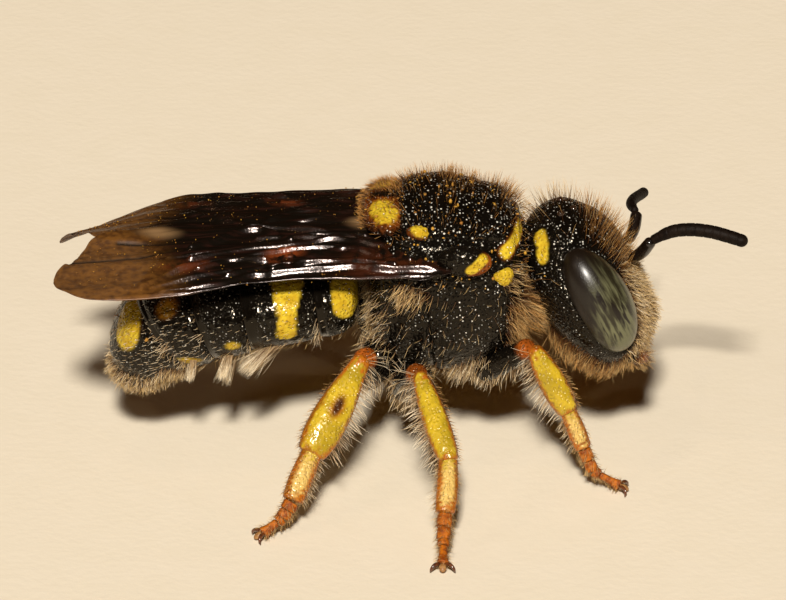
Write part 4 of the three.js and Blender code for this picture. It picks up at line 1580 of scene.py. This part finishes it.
def feelers() -> tuple[Feeler, Feeler]:
    """The two feelers: the right one reaches forward, and the slimmer left one turns outward."""
    right = (
        (3.39, -0.6, 3.41), (3.66, -0.66, 3.57), (3.91, -0.7, 3.62), (4.18, -0.74, 3.61),
        (4.42, -0.78, 3.56), (4.7, -0.82, 3.48),
    )
    left = (
        (3.21, 0.67, 3.3), (3.16, 0.95, 3.28), (3.19, 1.2, 3.24), (3.25, 1.45, 3.18),
        (3.31, 1.65, 3.13), (3.37, 1.82, 3.1),
    )
    return (
        Feeler("right", (3.12, -0.3, 2.99), (3.4, -0.6, 3.42), right),
        Feeler("left", (3.1, 0.3, 3.0), (3.23, 0.66, 3.3), left, 0.82),
    )


class Pair(Enum):
    """The three pairs of legs."""

    FORE = "fore"
    MIDDLE = "middle"
    HIND = "hind"


@dataclass(frozen=True)
class LegSizes:
    """Half widths of a pair's segments, and how full the shin is along its length."""

    femur: float
    tibia: float
    basitarsus: float
    tarsus: float
    shin: tuple[float, ...] = (0.5, 0.74, 0.96, 1.0, 0.88, 0.66)
    tibia_depth: float = 0.15


LEG_SIZES = {
    Pair.FORE: LegSizes(0.17, 0.19, 0.13, 0.095),
    Pair.MIDDLE: LegSizes(0.17, 0.18, 0.15, 0.105),
    Pair.HIND: LegSizes(0.2, 0.255, 0.165, 0.11, (0.46, 0.62, 0.9, 1.04, 0.94, 0.7)),
}


@dataclass
class Leg:
    """One leg, from its root on the thorax to its claws."""

    pair: Pair
    side: str
    joints: dict[str, Point]

    def __post_init__(self) -> None:
        """Sizes of the pair, and the way the leg faces."""
        self.sizes = LEG_SIZES[self.pair]
        self.out = np.array([0.1, SIDES[self.side], 0.35])
        self.points = {key: np.array(value) for key, value in self.joints.items()}
        self.forms: dict[str, Loft] = {}

    def name(self, part: str) -> str:
        """Name of a part of this leg."""
        return f"{self.pair.value}_{part}_{self.side}"

    def limb(self, part: str, path: list[Array], wide: list[float], deep: list[float], caps: Span) -> Loft:
        """Shape of a segment, broad across the way the leg faces.

        Args:
            part: the segment's name.
            path: its line, from the body outwards.
            wide: half widths along the line.
            deep: half depths along the line.
            caps: shares of its length that its two ends are rounded over.

        Returns:
            The form, which is also kept for the hairs.
        """
        ahead = unit(path[-1] - path[0])
        side = unit(np.cross(self.out, ahead))
        self.forms[part] = Loft(path, wide, deep, tuple(side), 2.15, caps)
        return self.forms[part]

    def build(self, finishes: Finishes) -> None:
        """Makes the leg."""
        self.coxa(finishes)
        self.femur(finishes)
        self.tibia(finishes)
        self.basitarsus(finishes)
        self.tarsus(finishes)

    def coxa(self, finishes: Finishes) -> None:
        """The black root of the leg."""
        root, end = self.points["root"], self.points["trochanter"]
        path = [root, root * 0.5 + end * 0.5, end]
        form = self.limb("coxa", path, [0.26, 0.26, 0.18], [0.24, 0.24, 0.18], (0.3, 0.3))
        coxa = Shell(self.name("coxa_plate"), form, 64, 40)
        coxa.pits(0.075, 0.026, 0.01, 51)
        # Painted glints: fewer pale dots on the leg's root.
        coxa.paint("fewer_painted_glints", 0.8 + 0 * coxa.u)
        coxa.finish(finishes.black, "black_shell", self.name("coxa"))

    def femur(self, finishes: Finishes) -> None:
        """The thigh: black, with an amber knee."""
        half = self.sizes.femur
        start, knee = self.points["trochanter"], self.points["knee"]
        shares = ((1, 0), (0.72, 0.28), (0.45, 0.55), (0.2, 0.8), (0, 1))
        path = [start * near + knee * far for near, far in shares]
        wide = [0.15, half * 0.95, half, half * 0.85, 0.15]
        deep = [0.14, half * 0.85, half * 0.9, half * 0.8, 0.14]
        form = self.limb("femur", path, wide, deep, (0.1, 0.12))
        femur = Shell(self.name("femur_plate"), form, 72, 64)
        femur.pits(0.07, 0.022, 0.008, 52)
        # Painted glints: fewer pale dots on the thigh.
        femur.paint("fewer_painted_glints", 0.8 + 0 * femur.u)
        femur.paint("amber", ease(0.72, 0.9, form.local(femur.u)))
        femur.finish(finishes.black, "black_shell", self.name("femur"))

    def tibia(self, finishes: Finishes) -> None:
        """The shin: yellow, with amber ends and edges, and a dark scar on the hind one."""
        half, depth = self.sizes.tibia, self.sizes.tibia_depth
        knee, ankle = self.points["knee"], self.points["ankle"]
        path = [knee + (ankle - knee) * t for t in (0, 0.18, 0.42, 0.68, 0.88, 1)]
        wide = [half * share for share in self.sizes.shin]
        deep = [depth * max(share, 0.7) for share in self.sizes.shin]
        form = self.limb("tibia", path, wide, deep, (0.08, 0.05))
        tibia = Shell(self.name("tibia_plate"), form, 88, 104)
        tibia.pits(0.062, 0.026, 0.007, 53, None, ((0.3, 0, 1), 1.3))
        local = form.local(tibia.u)
        edge = np.abs(np.cos(tibia.angle))
        uneven = 0.12 * ripple(tibia.base, 0.09, 55)
        rim = np.maximum(ease(0.84, 0.97, local + 0.5 * uneven), ease(0.62, 0.92, edge + uneven))
        tibia.paint("amber", (1 - ease(0.05, 0.2, local + uneven)) + 0.95 * rim)
        if self.pair is Pair.HIND:
            middle = through(form.centres, np.array([0.46]))[0] + unit(self.out) * depth
            axis = tuple(form.centres[-1] - form.centres[0])
            tibia.paint("scar", 1.2 * spot(tibia.base, middle, axis, (0.13, 0.05), 0.6))
            tibia.paint("amber", 0.9 * spot(tibia.base, middle, axis, (0.17, 0.09), 0.6))
        tibia.finish(finishes.yellow, "yellow_shell", self.name("tibia"))

    def basitarsus(self, finishes: Finishes) -> None:
        """The foot's long first joint: pale, with amber edges and an amber end."""
        knee, ankle, end = (self.points[key] for key in ("knee", "ankle", "basitarsus"))
        half = self.sizes.basitarsus
        path = [ankle * 0.94 + knee * 0.06, (ankle + end) / 2, end]
        wide, deep = [half * 0.85, half, half * 0.9], [half * 0.6, half * 0.7, half * 0.65]
        form = self.limb("basitarsus", path, wide, deep, (0.06, 0.06))
        first = Shell(self.name("basitarsus_plate"), form, 64, 64)
        first.pits(0.05, 0.02, 0.005, 54)
        edge = np.abs(np.cos(first.angle))
        uneven = 0.15 * ripple(first.base, 0.07, 56)
        local = form.local(first.u)
        first.paint("pale", ease(0.0, 0.3, local + uneven))
        first.paint("amber", ease(0.3, 0.8, edge + uneven) + 0.9 * ease(0.7, 0.95, local + uneven))
        first.finish(finishes.yellow, "yellow_shell", self.name("basitarsus"))

    def tarsus(self, finishes: Finishes) -> None:
        """Three short joints, a slender last one and the claws."""
        start, bend, end = (self.points[key] for key in ("basitarsus", "tarsus", "claws"))
        half = self.sizes.tarsus
        stops = [start, start + (bend - start) * 0.52, bend, bend + (end - bend) * 0.24]
        bits = []
        for k, share in enumerate((1, 0.9, 0.8)):
            first, last = stops[k], stops[k + 1]
            size = half * share
            wide, deep = [size * 0.92, size, size * 0.96], [size * 0.7, size * 0.78, size * 0.74]
            form = self.limb(f"tarsus_{k + 2}", [first, (first + last) / 2, last], wide, deep, (0.06, 0.08))
            bits.append(Shell(f"bit_{k}", form, 40, 28))
        first = stops[-1]
        wide, deep = [half * 0.5, half * 0.6, half * 0.9], [half * 0.45, half * 0.55, half * 0.7]
        form = self.limb("tarsus_5", [first, first * 0.4 + end * 0.6, end], wide, deep, (0.06, 0.12))
        bits.append(Shell("bit_4", form, 40, 40))
        group(bits, self.name("tarsus_plates"), finishes.amber, "amber_shell", self.name("tarsus"))
        self.claws(finishes, end, unit(end - first))

    def claws(self, finishes: Finishes, end: Array, ahead: Array) -> None:
        """Two curved claws with a pad between them.

        Args:
            finishes: the materials.
            end: where the foot ends.
            ahead: the way its last joint points.
        """
        across = unit(np.cross(ahead, (0, 0, 1)))
        flat = unit(np.cross((0, 0, 1), across))
        curve = ((0.03, -0.02, 0.0), (0.1, 0.05, 0.02), (0.15, 0.09, -0.02), (0.17, 0.08, -0.09))
        half, lowest = [0.03, 0.028, 0.02, 0.006], 0.012
        hooks = []
        for k in (-1, 1):
            path = [end + across * k * out + flat * on + np.array([0, 0, up]) for out, on, up in curve]
            path = [np.array([q[0], q[1], max(q[2], lowest)]) for q in path]
            hooks.append(Shell(f"hook_{k}", Loft(path, half, half, tuple(flat), 2.0, (0.2, 0.1)), 16, 24))
        group(hooks, self.name("claws"), finishes.claw, "amber_shell")
        middle = end + flat * 0.06 + np.array([0, 0, -0.02])
        pad = Shell(self.name("pad"), ovoid(middle, ahead, across, (0.07, 0.05, 0.04)), 24, 16)
        place(pad.write(), finishes.pad, "amber_shell")

    def dress(self, coat: Coat) -> None:
        """Grows the hairs: fringes behind, bristles before, and short ones all over."""
        down = (-0.2, 0.0, -1.0)
        rear = 1.0 if self.pair is Pair.HIND else -1.0
        tuft = zone(0.85 if self.pair is Pair.FORE else 0.22)
        fringe = zone(nx=(0.55 * rear, 0.85 * rear))
        front = zone(nx=(-0.6 * rear, -0.85 * rear))
        below = zone(0.6, 0.04, nz=(-0.2, -0.7))
        rows = [
            ("coxa", 0.045, Lie((0.15, 0.3), 0.6, 0.4, down, 0.22, 0.0046, 0.4, 0.11, 0.2), tuft),
            ("femur", 0.062, Lie((0.12, 0.3), 0.7, 0.5, down, 0.2, 0.0042, 0.3, 0.1, 0.2), below),
            ("tibia", 0.05, Lie((0.14, 0.33), 0.72, 0.66, down, 0.13, 0.0054), fringe),
            ("tibia", 0.045, Lie((0.06, 0.13), 0.6, 0.5, down, 0.12, 0.0045, warm=0.7), front),
            ("tibia", 0.07, Lie((0.03, 0.06), 0.4, 0.2, down, 0.15, 0.0035, warm=0.6), zone(0.7)),
            ("basitarsus", 0.045, Lie((0.08, 0.2), 0.65, 0.58, down, 0.15, 0.0042, warm=0.1), fringe),
            ("basitarsus", 0.038, Lie((0.05, 0.11), 0.5, 0.4, down, 0.18, 0.0036, warm=0.6), zone(0.8)),
        ]
        foot = Lie((0.05, 0.13), 0.5, 0.4, down, 0.2, 0.0034, warm=0.5)
        rows += [(f"tarsus_{k}", 0.027, foot, zone(0.8)) for k in range(2, 6)]
        for part, spacing, lie, where in rows:
            coat.grow(self.forms[part], spacing, lie, where)


def legs() -> list[Leg]:
    """The six legs with the places of their joints, the left ones mirrored where they name none."""
    keys = ("root", "trochanter", "knee", "ankle", "basitarsus", "tarsus", "claws")
    right = {
        Pair.FORE: (
            (1.2, -0.42, 1.86), (1.05, -0.6, 1.42), (1.77, -1.15, 2.08), (2.28, -1.3, 1.15),
            (2.48, -1.35, 0.63), (2.61, -1.38, 0.31), (2.98, -1.42, 0.1),
        ),
        Pair.MIDDLE: (
            (0.22, -0.5, 1.62), (0, -0.8, 1.2), (0.21, -1.75, 1.98), (0.64, -2.75, 1.07),
            (0.57, -3.25, 0.54), (0.55, -3.55, 0.3), (0.54, -3.9, 0.1),
        ),
        Pair.HIND: (
            (-0.24, -0.42, 1.86), (-0.42, -0.78, 1.38), (-0.52, -1.5, 2.1), (-1.26, -2.35, 0.99),
            (-1.5, -2.75, 0.49), (-1.63, -2.84, 0.29), (-1.9, -2.93, 0.1),
        ),
    }
    left = {
        Pair.FORE: {
            "knee": (1.78, 1.25, 2.08),
            "ankle": (2.3, 1.9, 1.15),
            "basitarsus": (2.42, 2.3, 0.64),
            "tarsus": (2.46, 2.5, 0.32),
            "claws": (2.7, 2.85, 0.1),
        },
        Pair.MIDDLE: {},
        Pair.HIND: {
            "ankle": (-1.2, 2.7, 1.0),
            "basitarsus": (-1.45, 3.2, 0.49),
            "tarsus": (-1.6, 3.4, 0.29),
            "claws": (-1.85, 3.6, 0.1),
        },
    }
    made = []
    for pair, places in right.items():
        joints = dict(zip(keys, places))
        other = {key: left[pair].get(key, tuple(mirror(place, 1.0))) for key, place in joints.items()}
        made += [Leg(pair, "right", joints), Leg(pair, "left", other)]
    return made


# ---- the wings


@dataclass(frozen=True)
class Stain:
    """A soft oval stain, placed by X and distance from the middle, on the wings of both sides."""

    strength: float
    centre: Point
    along: Point
    half: Span
    soft: float


@dataclass
class Wings:
    """Four smoky wings folded over the back, as thin sheets with raised veins."""

    thickness: float = 0.012
    spread: float = 1.65
    steep: Span = (1.35, 0.7)  # how high the veins stand on the right and on the left
    hind_drop: float = 0.1
    fore_edges: tuple[Point, ...] = (  # X, outer edge, inner edge
        (0.66, 1.42, 1.24), (0.3, 1.54, 0.98), (0.0, 1.5, 0.5), (-0.3, 1.48, 0.12),
        (-1.1, 1.44, 0.0), (-2.0, 1.48, -0.12), (-2.7, 1.57, -0.16), (-3.12, 1.62, -0.18),
        (-3.8, 1.64, -0.12), (-4.2, 1.6, 0.06), (-4.36, 1.55, 0.32), (-4.48, 1.49, 0.66),
        (-4.62, 1.38, 0.76), (-4.71, 1.27, 0.92), (-4.75, 1.16, 1.06),
    )
    hind_edges: tuple[Point, ...] = (
        (0.1, 1.08, 0.9), (-0.2, 1.0, 0.2), (-0.4, 0.95, -0.05), (-0.7, 0.9, -0.12),
        (-1.5, 0.8, -0.1), (-2.2, 0.72, -0.02), (-2.8, 0.55, 0.05), (-3.1, 0.4, 0.16),
    )
    ridges: tuple[tuple[tuple[Span, ...], float, float], ...] = (  # line, height, half width
        (((0.66, 1.38), (-0.3, 1.3), (-0.7, 1.2), (-1.4, 1.24), (-1.8, 1.27)), 0.07, 0.042),
        (((0.66, 1.5), (-0.9, 1.42), (-2.1, 1.48), (-2.8, 1.56), (-4.0, 1.6)), 0.03, 0.026),
        (((-1.8, 1.27), (-2.07, 1.27), (-2.54, 1.46), (-3.3, 1.55)), 0.05, 0.032),
        (((-1.85, 0.95), (-2.2, 0.88), (-2.54, 0.91), (-3.12, 1.08), (-3.64, 1.45)), 0.06, 0.038),
        (((-1.52, 0.44), (-1.81, 0.2), (-1.96, 0.1), (-2.25, 0.14), (-2.54, 0.33), (-2.9, 0.5)), 0.06, 0.038),
        (((-1.49, 0.86), (-1.67, 0.9), (-1.9, 1.19)), 0.04, 0.026),
        (((-0.31, 0.97), (-0.79, 0.72), (-1.23, 0.93), (-1.78, 1.2)), 0.055, 0.033),
        (((-0.2, 0.75), (-0.9, 0.45), (-1.5, 0.55), (-2.2, 0.62), (-2.9, 0.8)), 0.05, 0.033),
        (((0.1, 1.1), (-0.4, 0.6), (-1.2, 0.4), (-2.0, 0.3)), 0.05, 0.033),
        (((-0.5, 0.4), (-1.3, 0.16), (-2.1, 0.02)), 0.045, 0.033),
        (((-0.3, 0.62), (-0.9, 0.3), (-1.5, 0.3)), 0.045, 0.03),
        (((-2.0, 0.55), (-2.6, 0.62), (-3.2, 0.72)), 0.04, 0.028),
        (((-2.3, 1.12), (-2.9, 1.27), (-3.4, 1.42)), 0.045, 0.03),
        (((-0.1, 1.18), (-1.0, 1.0), (-1.8, 1.05), (-2.4, 1.25)), 0.04, 0.026),
        (((-0.4, 0.85), (-1.1, 0.66), (-1.9, 0.75), (-2.8, 1.05)), 0.04, 0.026),
    )
    # lines of the creases, each pressed in and darkened with painted shade
    creases: tuple[tuple[Span, ...], ...] = (
        ((-4.55, 0.72), (-4.2, 0.7), (-3.6, 0.66), (-3.1, 0.5)),
        ((-0.2, 1.22), (-1.2, 1.05), (-1.8, 1.08)),
        ((-3.9, 0.2), (-3.3, 0.3), (-2.6, 0.25)),
    )
    light_places: tuple[Stain, ...] = (
        Stain(0.8, (-3.35, 0.02, 0), (1, 0.15, 0), (0.22, 0.1), 0.9),
        Stain(0.7, (-0.45, 0.02, 0), (1, 0, 0), (0.25, 0.12), 0.7),
    )
    amber_cells: tuple[Stain, ...] = (
        Stain(1.0, (-1.62, 0.82, 0), (1, -0.4, 0), (0.24, 0.16), 0.6),
        Stain(0.5, (-3.0, 0.95, 0), (1, 0, 0), (0.3, 0.14), 0.7),
        Stain(0.22, (-0.1, 1.1, 0), (1, -0.1, 0), (0.75, 0.32), 0.8),
    )

    def height(self, x: Array, y: Array, side: float) -> Array:
        """Height of the resting wing's middle surface, whose left side bends down at the tip."""
        z = 3.2 + 0.058 * x + 0.22 * (1 - (y / self.spread) ** 2)
        inner = ease(0.3, -0.05, y * side)
        if side > 0:
            return z + 0.08 - 0.1 * inner - 0.278 * np.maximum(0, -2.9 - x) ** 1.5 * (y / self.spread)
        return z + 0.06 * inner

    def sheet(
        self, name: str, edges: tuple[Point, ...], side: float, drop: float, size: tuple[int, int]
    ) -> tuple[Thing, Array, Array]:
        """Lays a grid between a wing's two edges.

        Args:
            name: the piece's name.
            edges: places along X with the outer and the inner edge.
            side: -1 right, 1 left.
            drop: how far it lies below the wings' surface.
            size: count of faces along and across.

        Returns:
            The object, its points before they are folded, and how far each is from the bee's middle.
        """
        deselect()
        bpy.ops.mesh.primitive_grid_add(
            x_subdivisions=size[0], y_subdivisions=size[1], size=2.0, calc_uvs=False
        )
        thing = bpy.context.object
        rename(thing, name)
        along, across, _ = (read_points(thing).T + 1) / 2
        table = np.stack([through(column, np.linspace(0, 1, 300)) for column in np.array(edges).T], 1)
        table[:, 0] = np.minimum.accumulate(table[:, 0])
        bunched = (1 - np.cos(along * math.pi)) / 2 * 0.35 + along * 0.65
        reach = np.interp(bunched, np.linspace(0, 1, 200), self.spaced(table))
        outer, inner = self.edges_at(table, reach)
        y = (inner + (outer - inner) * across) * side
        points = np.stack([reach, y, self.height(reach, y, side) - drop], 1)
        return thing, points, y * side

    def edges_at(self, table: Array, x: Array) -> tuple[Array, Array]:
        """Distances of the outer and the inner edge from the middle, at places along X."""
        return tuple(np.interp(-x, -table[:, 0], table[:, column]) for column in (1, 2))

    def spaced(self, table: Array) -> Array:
        """Places along X from root to tip, evenly spaced along the wing's edges."""
        x = np.linspace(table[0, 0], table[-1, 0], 400)
        outer, inner = self.edges_at(table, x)
        length = summed(np.hypot(np.diff(x), np.maximum(abs(np.diff(outer)), abs(np.diff(inner)))))
        return np.interp(np.linspace(0, length[-1], 200), length, x)

    def build(self, finishes: Finishes) -> None:
        """Makes the four wings."""
        for name, side in SIDES.items():
            fore = self.sheet("forewing_sheet_" + name, self.fore_edges, side, 0.0, (200, 144))
            self.wing(*fore, side, finishes, "forewing_" + name)
            hind = self.sheet("hindwing_sheet_" + name, self.hind_edges, side, self.hind_drop, (150, 44))
            self.wing(*hind, side, finishes, "hindwing_" + name)

    def wing(
        self, thing: Thing, points: Array, y: Array, side: float, finishes: Finishes, node: str
    ) -> None:
        """Finishes one wing: folds, ridges, a thin body and its finish.

        Args:
            thing: the laid grid.
            points: its places before they are folded.
            y: how far each is from the bee's middle.
            side: -1 right, 1 left.
            finishes: the materials.
            node: the solid that the wing stands for.
        """
        x = points[:, 0]
        flat = np.stack([x, y], 1)
        lift = 0.0
        for line, height, half in self.ridges:
            curve = through(np.array(line), np.linspace(0, 1, 6 * len(line)))
            crest = np.exp(-((away_from(flat, curve) / half) ** 2))
            lift = np.maximum(lift, self.steep[side > 0] * height * crest)
        lift = lift * ease(0.68, 0.3, x)
        tip = ease(-2.9, -3.8, x - 0.25 * (y - 0.8))
        folds = 0.012 * np.sin(y * 26 + 2.2 * x) * ease(0.2, -0.6, x) + 0.012 * ripple(points, 0.45, 61)
        points[:, 2] += (lift + folds) * (1 - 0.7 * tip)
        points[:, 2] += 0.018 * tip * np.sin(y * 9 + 1.0)
        # The creases are pressed in and darkened with painted shade.
        crease_with_shade = np.max([np.exp(-((away_from(flat, line) / 0.035) ** 2)) for line in self.creases], axis=0)
        points[:, 2] -= 0.03 * crease_with_shade
        mesh = thing.data
        write_points(mesh, points)
        plan = np.stack([x, y, 0 * x], 1)
        write_layer(mesh, "tip", tip)
        write_layer(mesh, "clear", self.stained(plan, self.light_places))
        write_layer(mesh, "crease_with_shade", crease_with_shade)
        write_layer(mesh, "cell", self.stained(plan, self.amber_cells) * (1.0 if side < 0 else 0.4))
        if side > 0:
            mesh.flip_normals()
        deselect()
        thing.select_set(True)
        bpy.context.view_layer.objects.active = thing
        apply_modifier(thing, "SOLIDIFY", thickness=self.thickness * MM, offset=0.0)
        mesh.shade_smooth()
        place(thing, finishes.wing, "wing", node)

    def stained(self, plan: Array, stains: tuple[Stain, ...]) -> Array:
        """How strongly stains show at points of the wing, from 0 to 1."""
        return np.max([s.strength * spot(plan, s.centre, s.along, s.half, s.soft) for s in stains], axis=0)


@dataclass(frozen=True)
class Dust:
    """Yellow grains that cling to the back, the wings and the face."""

    grain: Span = (0.004, 0.025)
    wing_grain: Span = (0.004, 0.01)
    on_wings: int = 420
    unevenness: float = 0.35

    def build(self, finishes: Finishes, forms: list[tuple[Form, int, float]], wings: Wings) -> None:
        """Scatters the grains.

        Args:
            finishes: the materials.
            forms: skins, each with how many grains it has and how high they sit.
            wings: the wings that carry the rest.
        """
        rng = np.random.default_rng(301)
        places, sizes = [], []
        for form, number, rise in forms:
            u, angle = form.scatter(0.03, rng, 0.6)
            normals = form.normal(u, angle)
            upward = np.flatnonzero(normals[:, 2] > 0.15)
            at = form.at(u, angle) + normals * rise
            places.append(at[rng.choice(upward, number, replace=False)])
            sizes.append(self.grain[0] + (self.grain[1] - self.grain[0]) * rng.random(number) ** 2.5)
        x = rng.uniform(-4.5, -0.5, self.on_wings)
        y = rng.uniform(0.1, 1.5, self.on_wings) * rng.choice([-1.0, 1.0], self.on_wings)
        z = np.where(y > 0, wings.height(x, y, 1.0), wings.height(x, y, -1.0)) + 0.02
        places.append(np.stack([x, y, z], 1))
        sizes.append(rng.uniform(*self.wing_grain, self.on_wings))
        self.write(finishes, rng, np.concatenate(places), np.concatenate(sizes))

    def write(self, finishes: Finishes, rng: np.random.Generator, centres: Array, sizes: Array) -> None:
        """Makes one mesh of all the grains, each an uneven lump."""
        deselect()
        bpy.ops.mesh.primitive_ico_sphere_add(subdivisions=1, radius=1.0)
        seed = bpy.context.object
        ball = read_points(seed)
        faces = np.array([list(p.vertices) for p in seed.data.polygons])
        bpy.data.objects.remove(seed)
        size = sizes[:, None, None] * rng.uniform(0.4, 1.4, (len(centres), 1, 3))
        lumps = 1 + self.unevenness * rng.normal(size=(len(centres), len(ball), 1))
        points = centres[:, None] + ball[None] * size * lumps
        index = faces[None] + np.arange(len(centres))[:, None, None] * len(ball)
        grains = new_object("pollen_grains", points.reshape(-1, 3), index.reshape(-1, 3))
        place(grains, finishes.pollen, "hair")


# ---- the studio


@dataclass(frozen=True)
class Lamp:
    """A square lamp that looks at the bee, with its place and size in millimetres."""

    name: str
    where: Point
    size: float
    power: float
    colour: Colour

    def build(self, target: Point) -> None:
        """Hangs the lamp and turns it to a target."""
        data = bpy.data.lights.new(self.name, "AREA")
        data.size = self.size * MM
        data.energy = self.power
        data.color = self.colour
        lamp = bpy.data.objects.new(self.name, data)
        lamp.location = Vector(self.where) * MM
        lamp.rotation_euler = (Vector(target) - Vector(self.where)).to_track_quat("-Z", "Y").to_euler()
        bpy.context.scene.collection.objects.link(lamp)


@dataclass
class Studio:
    """Floor, camera and lights."""

    elevation: float = math.radians(24)
    distance: float = 120.0
    target: Point = (-0.1307, 0.0, 2.2595)
    width: float = 10.815
    sensor: float = 36.0
    floor_size: float = 300.0
    room_colour: Colour = (1.0, 0.36, 0.08)
    room_strength: float = 0.028
    lamps: tuple[Lamp, ...] = (
        Lamp("key_light", (-30, -738, 594), 84, 13.8, (1.0, 0.94, 0.85)),
        Lamp("high_light", (-150, -150, 500), 16, 0.05, (1.0, 0.7, 0.4)),
        Lamp("left_light", (-80, -62, 72), 20, 0.005, (1.0, 0.8, 0.6)),
    )

    def build(self) -> None:
        """Sets the studio up."""
        self.camera()
        for lamp in self.lamps:
            lamp.build(self.target)
        self.room()
        self.floor()

    def camera(self) -> None:
        """Sets up the camera, which looks at the bee's right side from a little above."""
        data = bpy.data.cameras.new("camera")
        camera = bpy.data.objects.new("camera", data)
        bpy.context.scene.collection.objects.link(camera)
        back = Vector((0, -math.cos(self.elevation), math.sin(self.elevation)))
        camera.location = (Vector(self.target) + back * self.distance) * MM
        camera.rotation_euler = (math.pi / 2 - self.elevation, 0, 0)
        data.sensor_width = self.sensor
        data.lens = data.sensor_width * self.distance / self.width
        data.clip_start, data.clip_end = 1 * MM, 2.0
        bpy.context.scene.camera = camera

    def room(self) -> None:
        """Gives the room its faint warm light."""
        world = bpy.data.worlds.new("studio")
        world.use_nodes = True
        world.node_tree.nodes["Background"].inputs["Color"].default_value = (*self.room_colour, 1)
        world.node_tree.nodes["Background"].inputs["Strength"].default_value = self.room_strength
        bpy.context.scene.world = world
        bpy.context.scene.view_settings.view_transform = "Standard"

    def floor(self) -> None:
        """Lays a pale paper floor."""
        deselect()
        bpy.ops.mesh.primitive_plane_add(size=self.floor_size * MM)
        floor = bpy.context.object
        floor.name = "floor"
        n = Nodes("floor_paper")
        n.set(Base_Color=n.mix(n.noise(0.6, 5.0), (0.84, 0.75, 0.59), (0.88, 0.79, 0.64)), Roughness=0.8)
        n.bump(n.noise(0.14, 6.0), 0.005)
        floor.data.materials.append(n.material)


def grow_coat(finishes: Finishes, thorax: Thorax, head: Head, abdomen: Abdomen, all_legs: list[Leg]) -> None:
    """Grows every piece of the coat, then writes them.

    Args:
        finishes: the materials.
        thorax: the built thorax.
        head: the built head.
        abdomen: the built abdomen.
        all_legs: the six built legs.
    """
    top, sides = Coat("coat_back", 101), Coat("coat_flanks", 102)
    face, cheeks = Coat("coat_face", 103), Coat("coat_cheeks", 104)
    belly, brushes = Coat("coat_abdomen", 105), Coat("coat_brushes", 106)
    thorax.dress(top, sides)
    head.dress(face, cheeks)
    abdomen.dress(belly)
    abdomen.brushes(brushes)
    coats = [top, sides, face, cheeks, belly, brushes]
    for pair in Pair:
        coat = Coat("coat_legs_" + pair.value, 110 + len(coats), tiles=5)
        for leg in all_legs:
            if leg.pair is pair:
                leg.dress(coat)
        coats.append(coat)
    for coat in coats:
        coat.build(finishes.hair)


def main() -> None:
    """Builds the bee and its studio."""
    logging.basicConfig(level=logging.INFO, format="%(message)s")
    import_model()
    finishes = Finishes()
    Studio().build()
    thorax, abdomen, head, wings = Thorax(), Abdomen(), Head(), Wings()
    for part in (thorax, abdomen, head, *feelers(), wings):
        part.build(finishes)
    dusty = [  # skin, count of grains, how high they sit
        (thorax.form, 560, 0.035),
        (thorax.shield_form, 110, 0.01),
        (head.form, 24, 0.01),
        (abdomen.forms[4], 20, 0.01),
    ]
    Dust().build(finishes, dusty, wings)
    all_legs = legs()
    for leg in all_legs:
        leg.build(finishes)
    grow_coat(finishes, thorax, head, abdomen, all_legs)
    meshes = [thing.data for thing in bpy.data.objects if thing.type == "MESH" and thing.name != "floor"]
    log.info("triangles: %d", sum(len(mesh.loops) - 2 * len(mesh.polygons) for mesh in meshes))


if __name__ == "__main__":
    main()
